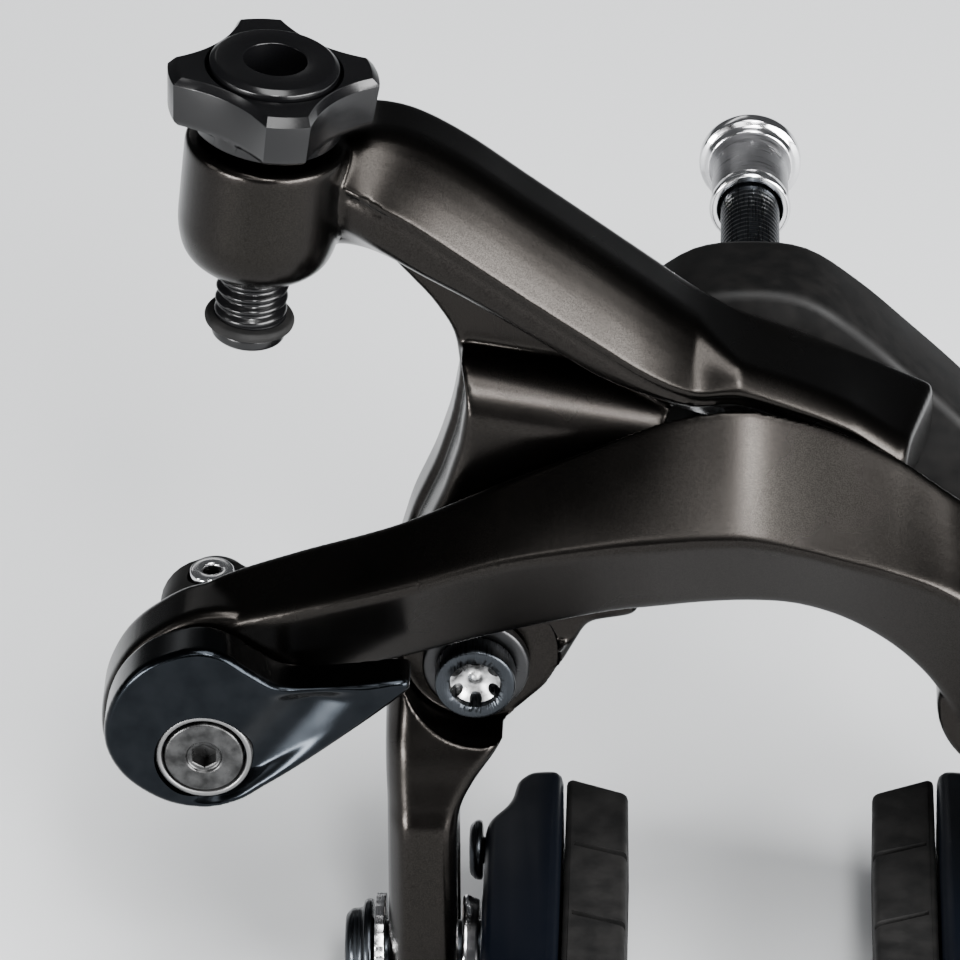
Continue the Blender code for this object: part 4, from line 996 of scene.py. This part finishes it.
def cable_anchor():
    """The link that holds the cable's end, with its guide, bolt, washer and pin, and the roller."""
    foot = LEVER_Z + 0.3
    round_top = [
        (CLAMP_X + 5.3 * math.cos(a), CLAMP_Z + 5.3 * math.sin(a))
        for a in (math.radians(d) for d in range(40, 206, 11))
    ]
    outline = round_top + [
        (-56.4, foot), (-48.0, foot), (-46.4, -15.4), (-43.6, -15.7), (-41.1, -14.2),
        (-40.6, -12.0), (-42.4, -9.8),
    ]
    link = plate("anchor_link", outline, -24.0, -18.6, 0.5)
    cut(
        link,
        bore(CLAMP_X, CLAMP_Z, -30, -10, 2.8),
        bore(LINK_X, LINK_Z, -30, -10, LINK_PIN_BORE),
        rod((CLAMP_X, CABLE_Y, CLAMP_Z + 3.3), (CLAMP_X, CABLE_Y, 0), 2.45),
    )
    done(sharpen(link, 40), "anchor_link", "black_metal", "anchor_link", paint=BLACK)
    turned("wire_guide", [
        (0.9, 5.6), (2.15, 5.6), (2.15, 3.7), (0.9, 3.7),
    ], (CLAMP_X, CABLE_Y, CLAMP_Z), Z_AXIS, "anchor_link", "steel", CHROME, ring=True, ease=0.35)
    bolt = lathe("anchor_bolt", [
        (0.0, -15.6), (3.5, -15.6), (3.5, -18.3), (2.5, -18.3), (2.5, -26.4), (0.0, -26.4),
    ], (CLAMP_X, 0, CLAMP_Z), Y_AXIS, ease=0.35)
    cut(bolt, socket(CLAMP_X, CLAMP_Z, -13, -17.4, 2.3))
    done(bolt, "anchor_bolt", "dark_steel", "anchor_bolt", paint=DARK_STEEL)
    turned("cable_clamp_washer", [
        (2.8, -24.3), (4.6, -24.3), (4.6, -26.4), (2.8, -26.4),
    ], (CLAMP_X, 0, CLAMP_Z), Y_AXIS, "anchor_bolt", "steel", TURNED_Y, ring=True)
    turned("link_pin", [
        (0.0, -17.2), (2.6, -17.2), (2.6, -18.3), (1.5, -18.3), (1.5, -30.4), (0.0, -30.4),
    ], (LINK_X, 0, LINK_Z), Y_AXIS, "front_arm", "steel", TURNED_Y, ease=0.2)
    turned("roller_pin", [
        (0.0, -19.4), (2.7, -19.4), (2.7, -20.4), (1.7, -20.4), (1.7, -30.4), (0.0, -30.4),
    ], (0, 0, ROLLER_Z), Y_AXIS, "front_arm", "dark_steel", DARK_STEEL, ease=0.2)
    turned("link_roller", [
        (2.1, -20.8), (3.5, -20.8), (3.5, -25.6), (2.1, -25.6),
    ], (0, 0, ROLLER_Z), Y_AXIS, "link_roller", "steel", CHROME, ring=True, ease=0.3)


def shoulder_screws():
    profile = [(0.0, 35.2), (1.9, 35.2), (1.9, 31.0), (0.0, 31.0)]
    for name, side in (("spring_tension_screw", -1), ("centring_screw", 1)):
        z = PIVOT_Z + side * SHOULDER_STEP
        screw = lathe(name, profile, (0, SHOULDER_Y, z), X_AXIS, ease=0.3)
        cut(screw, shoulder_bore(z, 33.6, 37, 1.15, 6))
        done(screw, name, "steel", name, paint=TURNED_X)


# ---------------------------------------------------------------- brake shoes

def prism(name, plan, low, high, edge, side):
    """A plan in X and Y from low to high in Z, with its upper and lower edges rounded over."""
    upright = plate(name, plan, low, high, edge)
    for vertex in upright.data.vertices:
        x, y, z = vertex.co
        vertex.co = (side * x, z, y)
    if side > 0:
        upright.data.flip_normals()
    bm = bmesh.new()
    bm.from_mesh(upright.data)
    bmesh.ops.recalc_face_normals(bm, faces=bm.faces)
    bm.to_mesh(upright.data)
    bm.free()
    upright.data.shade_smooth()
    return upright


def shoe(side, label):
    """A brake shoe and its mount; side is -1 on the left and 1 on the right."""
    mount, body = label + "_shoe_mount", label + "_shoe"
    low, high = STUD_Z - 5.2, STUD_Z + 6.6
    near, far = STUD_Y - 23.4, STUD_Y + 20.4
    inner, back = 12.2, 18.4

    plan = eased([
        (inner, near + 2.6), (back - 0.6, near), (back, near + 0.3), (back, far - 0.3),
        (back - 0.6, far), (inner, far - 2.6),
    ], 0.7, 3)
    rubber_pad = prism(label + "_pad_rubber", plan, low, high, 0.6, side)
    grooves = []
    for y in (-40.4, -28.65, -16.9):
        grooves.append(loft("tool", [
            [(side * px, py, z) for px, py in (
                (inner - 1, y - 1.1), (inner - 1, y - 2.0), (back - 0.9, y + 0.5), (back - 0.9, y + 1.2),
            )] for z in (low - 1, high + 1)
        ]))
    cut(rubber_pad, *grooves)
    done(sharpen(rubber_pad, 40), body, "rubber", label + "_pad_rubber", paint=RUBBER)

    front, rear = back + 0.3, 23.4
    plan = eased([
        (front, near - 2.4), (rear - 1.0, near - 2.4), (rear, near - 1.0), (rear + 0.5, STUD_Y - 15.5),
        (26.3, STUD_Y - 12.0), (26.3, STUD_Y + 12.0), (rear + 0.5, STUD_Y + 15.5), (rear, far - 1.2),
        (rear - 1.2, far + 0.3), (front, far + 0.6),
    ], 1.6, 4)
    holder = prism(label + "_shoe_holder", plan, low - 0.5, high + 0.9, 1.1, side)
    axis, stud = X_AXIS * side, (0, STUD_Y, STUD_Z)
    seat = lathe("seat", [
        (0.0, 1.2), (6.0, 1.2), (6.8, 0.0), (0.0, 0.0),
    ], (side * 25.2, STUD_Y, STUD_Z), axis, ease=0.5)
    join(holder, seat)
    screw_y, screw_z = STUD_Y + 10.6, STUD_Z + 4.6
    cut(
        holder,
        rod((side * 21.4, STUD_Y, STUD_Z), (side * 30, STUD_Y, STUD_Z), 3.3),
        rod((side * 20.8, screw_y, screw_z), (side * 30, screw_y, screw_z), 1.6),
    )
    done(sharpen(holder, 40), body, "shoe_metal", label + "_shoe_holder", paint=SHOE)

    screw = lathe(label + "_pad_screw", [
        (0.0, 27.9), (2.4, 27.9), (3.0, 27.3), (3.0, 26.6), (1.3, 26.6), (1.3, 21.2), (0.0, 21.2),
    ], (0, screw_y, screw_z), axis, ease=0.3)
    cut(screw, rod((side * 26.9, screw_y, screw_z), (side * 29, screw_y, screw_z), 1.1, sides=6))
    done(screw, body, "black_metal", label + "_pad_screw", paint=BLACK_STEEL)

    bolt = lathe(label + "_shoe_bolt", [
        (0.0, 39.9), (3.5, 39.9), (4.1, 39.3), (4.2, 38.2), (5.0, 38.0), (5.1, 37.2),
        (3.0, 37.2), (3.0, 21.8), (0.0, 21.8),
    ], stud, axis, ease=0.3)
    cut(bolt, rod((side * 37.8, STUD_Y, STUD_Z), (side * 43, STUD_Y, STUD_Z), 2.3, sides=6))
    done(bolt, mount, "black_metal", label + "_shoe_bolt", paint=BLACK_STEEL)
    turned(label + "_inner_washer", [
        (3.4, 28.3), (5.4, 28.3), (5.5, 27.9), (5.0, 26.7), (3.4, 26.7),
    ], stud, axis, mount, "steel", CHROME, ring=True)
    outer = lathe(label + "_outer_washer", [
        (3.4, 36.9), (5.7, 36.9), (5.7, 35.9), (3.4, 35.9),
    ], stud, axis, TURNED_X, ring=True, steps=96)
    knurl(outer)
    done(outer, mount, "steel", label + "_outer_washer")


def knurl(obj, teeth=32):
    """Draws the washer's rim in between its teeth."""
    centre = Vector((0, STUD_Y, STUD_Z)) * MM
    for vertex in obj.data.vertices:
        out = Vector((0, vertex.co.y - centre.y, vertex.co.z - centre.z))
        if out.length > 5.2 * MM:
            angle = math.atan2(out.z, out.y)
            wave = 0.5 + 0.5 * math.cos(teeth * angle)
            scale = 1 - 0.035 * wave
            vertex.co = (vertex.co.x, centre.y + out.y * scale, centre.z + out.z * scale)


# ---------------------------------------------------------------- light, floor and camera

def area_light(name, direction, distance, width, height, power, glossy=True):
    """A soft box that faces the object; one that isn't glossy adds only fill."""
    data = bpy.data.lights.new(name, "AREA")
    data.shape = "RECTANGLE"
    data.size, data.size_y = width, height
    data.energy = power
    lamp = bpy.data.objects.new(name, data)
    bpy.context.scene.collection.objects.link(lamp)
    way = Vector(direction).normalized()
    lamp.location = way * distance
    lamp.rotation_euler = (-way).to_track_quat("-Z", "Y").to_euler()
    lamp.visible_glossy = glossy


def studio():
    floor_z = cad_box[0][2] - 0.0004
    bm = bmesh.new()
    place = Matrix.Translation((0, 0, floor_z))
    bmesh.ops.create_grid(bm, x_segments=2, y_segments=2, size=4.0, matrix=place)
    made, node = shader("floor", (0.55, 0.56, 0.57), 0.7)
    vary(made, node, "Roughness", noise(made, 3), 0.62, 0.75)
    new_object("floor", bm, made)
    world = bpy.data.worlds.new("studio")
    world.use_nodes = True
    sky = world.node_tree.nodes["Background"]
    sky.inputs["Color"].default_value = (0.93, 0.96, 1.0, 1.0)
    sky.inputs["Strength"].default_value = 0.10
    bpy.context.scene.world = world
    area_light("overhead_fill", (0.1, -0.1, 1.0), 1.3, 1.4, 1.4, 4.0, glossy=False)
    area_light("right_box", (0.72, -0.61, 0.27), 0.9, 0.76, 0.42, 45.0)
    area_light("front_strip", (0.12, -0.71, 0.67), 1.1, 0.13, 0.28, 11.0)
    area_light("overhead_box", (0.10, -0.34, 0.93), 0.9, 0.42, 0.50, 11.0)
    area_light("left_front_box", (-0.22, -0.78, 0.58), 1.0, 0.22, 0.24, 1.2)
    area_light("low_left_box", (-0.68, -0.72, 0.08), 0.9, 0.34, 0.12, 17.0)
    area_light("left_box", (-0.90, -0.30, 0.30), 0.9, 0.12, 0.4, 1.5)
    area_light("back_box", (-0.3, 0.85, 0.45), 1.0, 0.5, 0.10, 0.25)


def camera():
    """Stands in front and above, panned a little to the left about its own upright."""
    tilt, pan = math.radians(32.5), math.radians(1.933)
    forward = Vector((0, math.cos(tilt), -math.sin(tilt)))
    up = Vector((0, math.sin(tilt), math.cos(tilt)))
    right = Vector((1, 0, 0))
    forward, right = (
        forward * math.cos(pan) - right * math.sin(pan),
        right * math.cos(pan) + forward * math.sin(pan),
    )
    data = bpy.data.cameras.new("camera")
    data.lens, data.sensor_width = 300.0, 36.0
    data.clip_start, data.clip_end = 0.05, 20.0
    made = bpy.data.objects.new("camera", data)
    bpy.context.scene.collection.objects.link(made)
    place = Matrix((right, up, -forward)).transposed().to_4x4()
    place.translation = (0.0, -0.66681, 0.41393)
    made.matrix_world = place
    bpy.context.scene.camera = made


rear_arm()
front_arm()
bridge()
fixings()
pivots()
spring("left_return_spring", -1)
spring("right_return_spring", 1)
knob()
adjuster_bolt()
lever()
cable_anchor()
shoulder_screws()
shoe(-1, "left")
shoe(1, "right")
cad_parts["cam_plate"].data.materials.clear()
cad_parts["cam_plate"].data.materials.append(TURNED_Y)
studio()
camera()
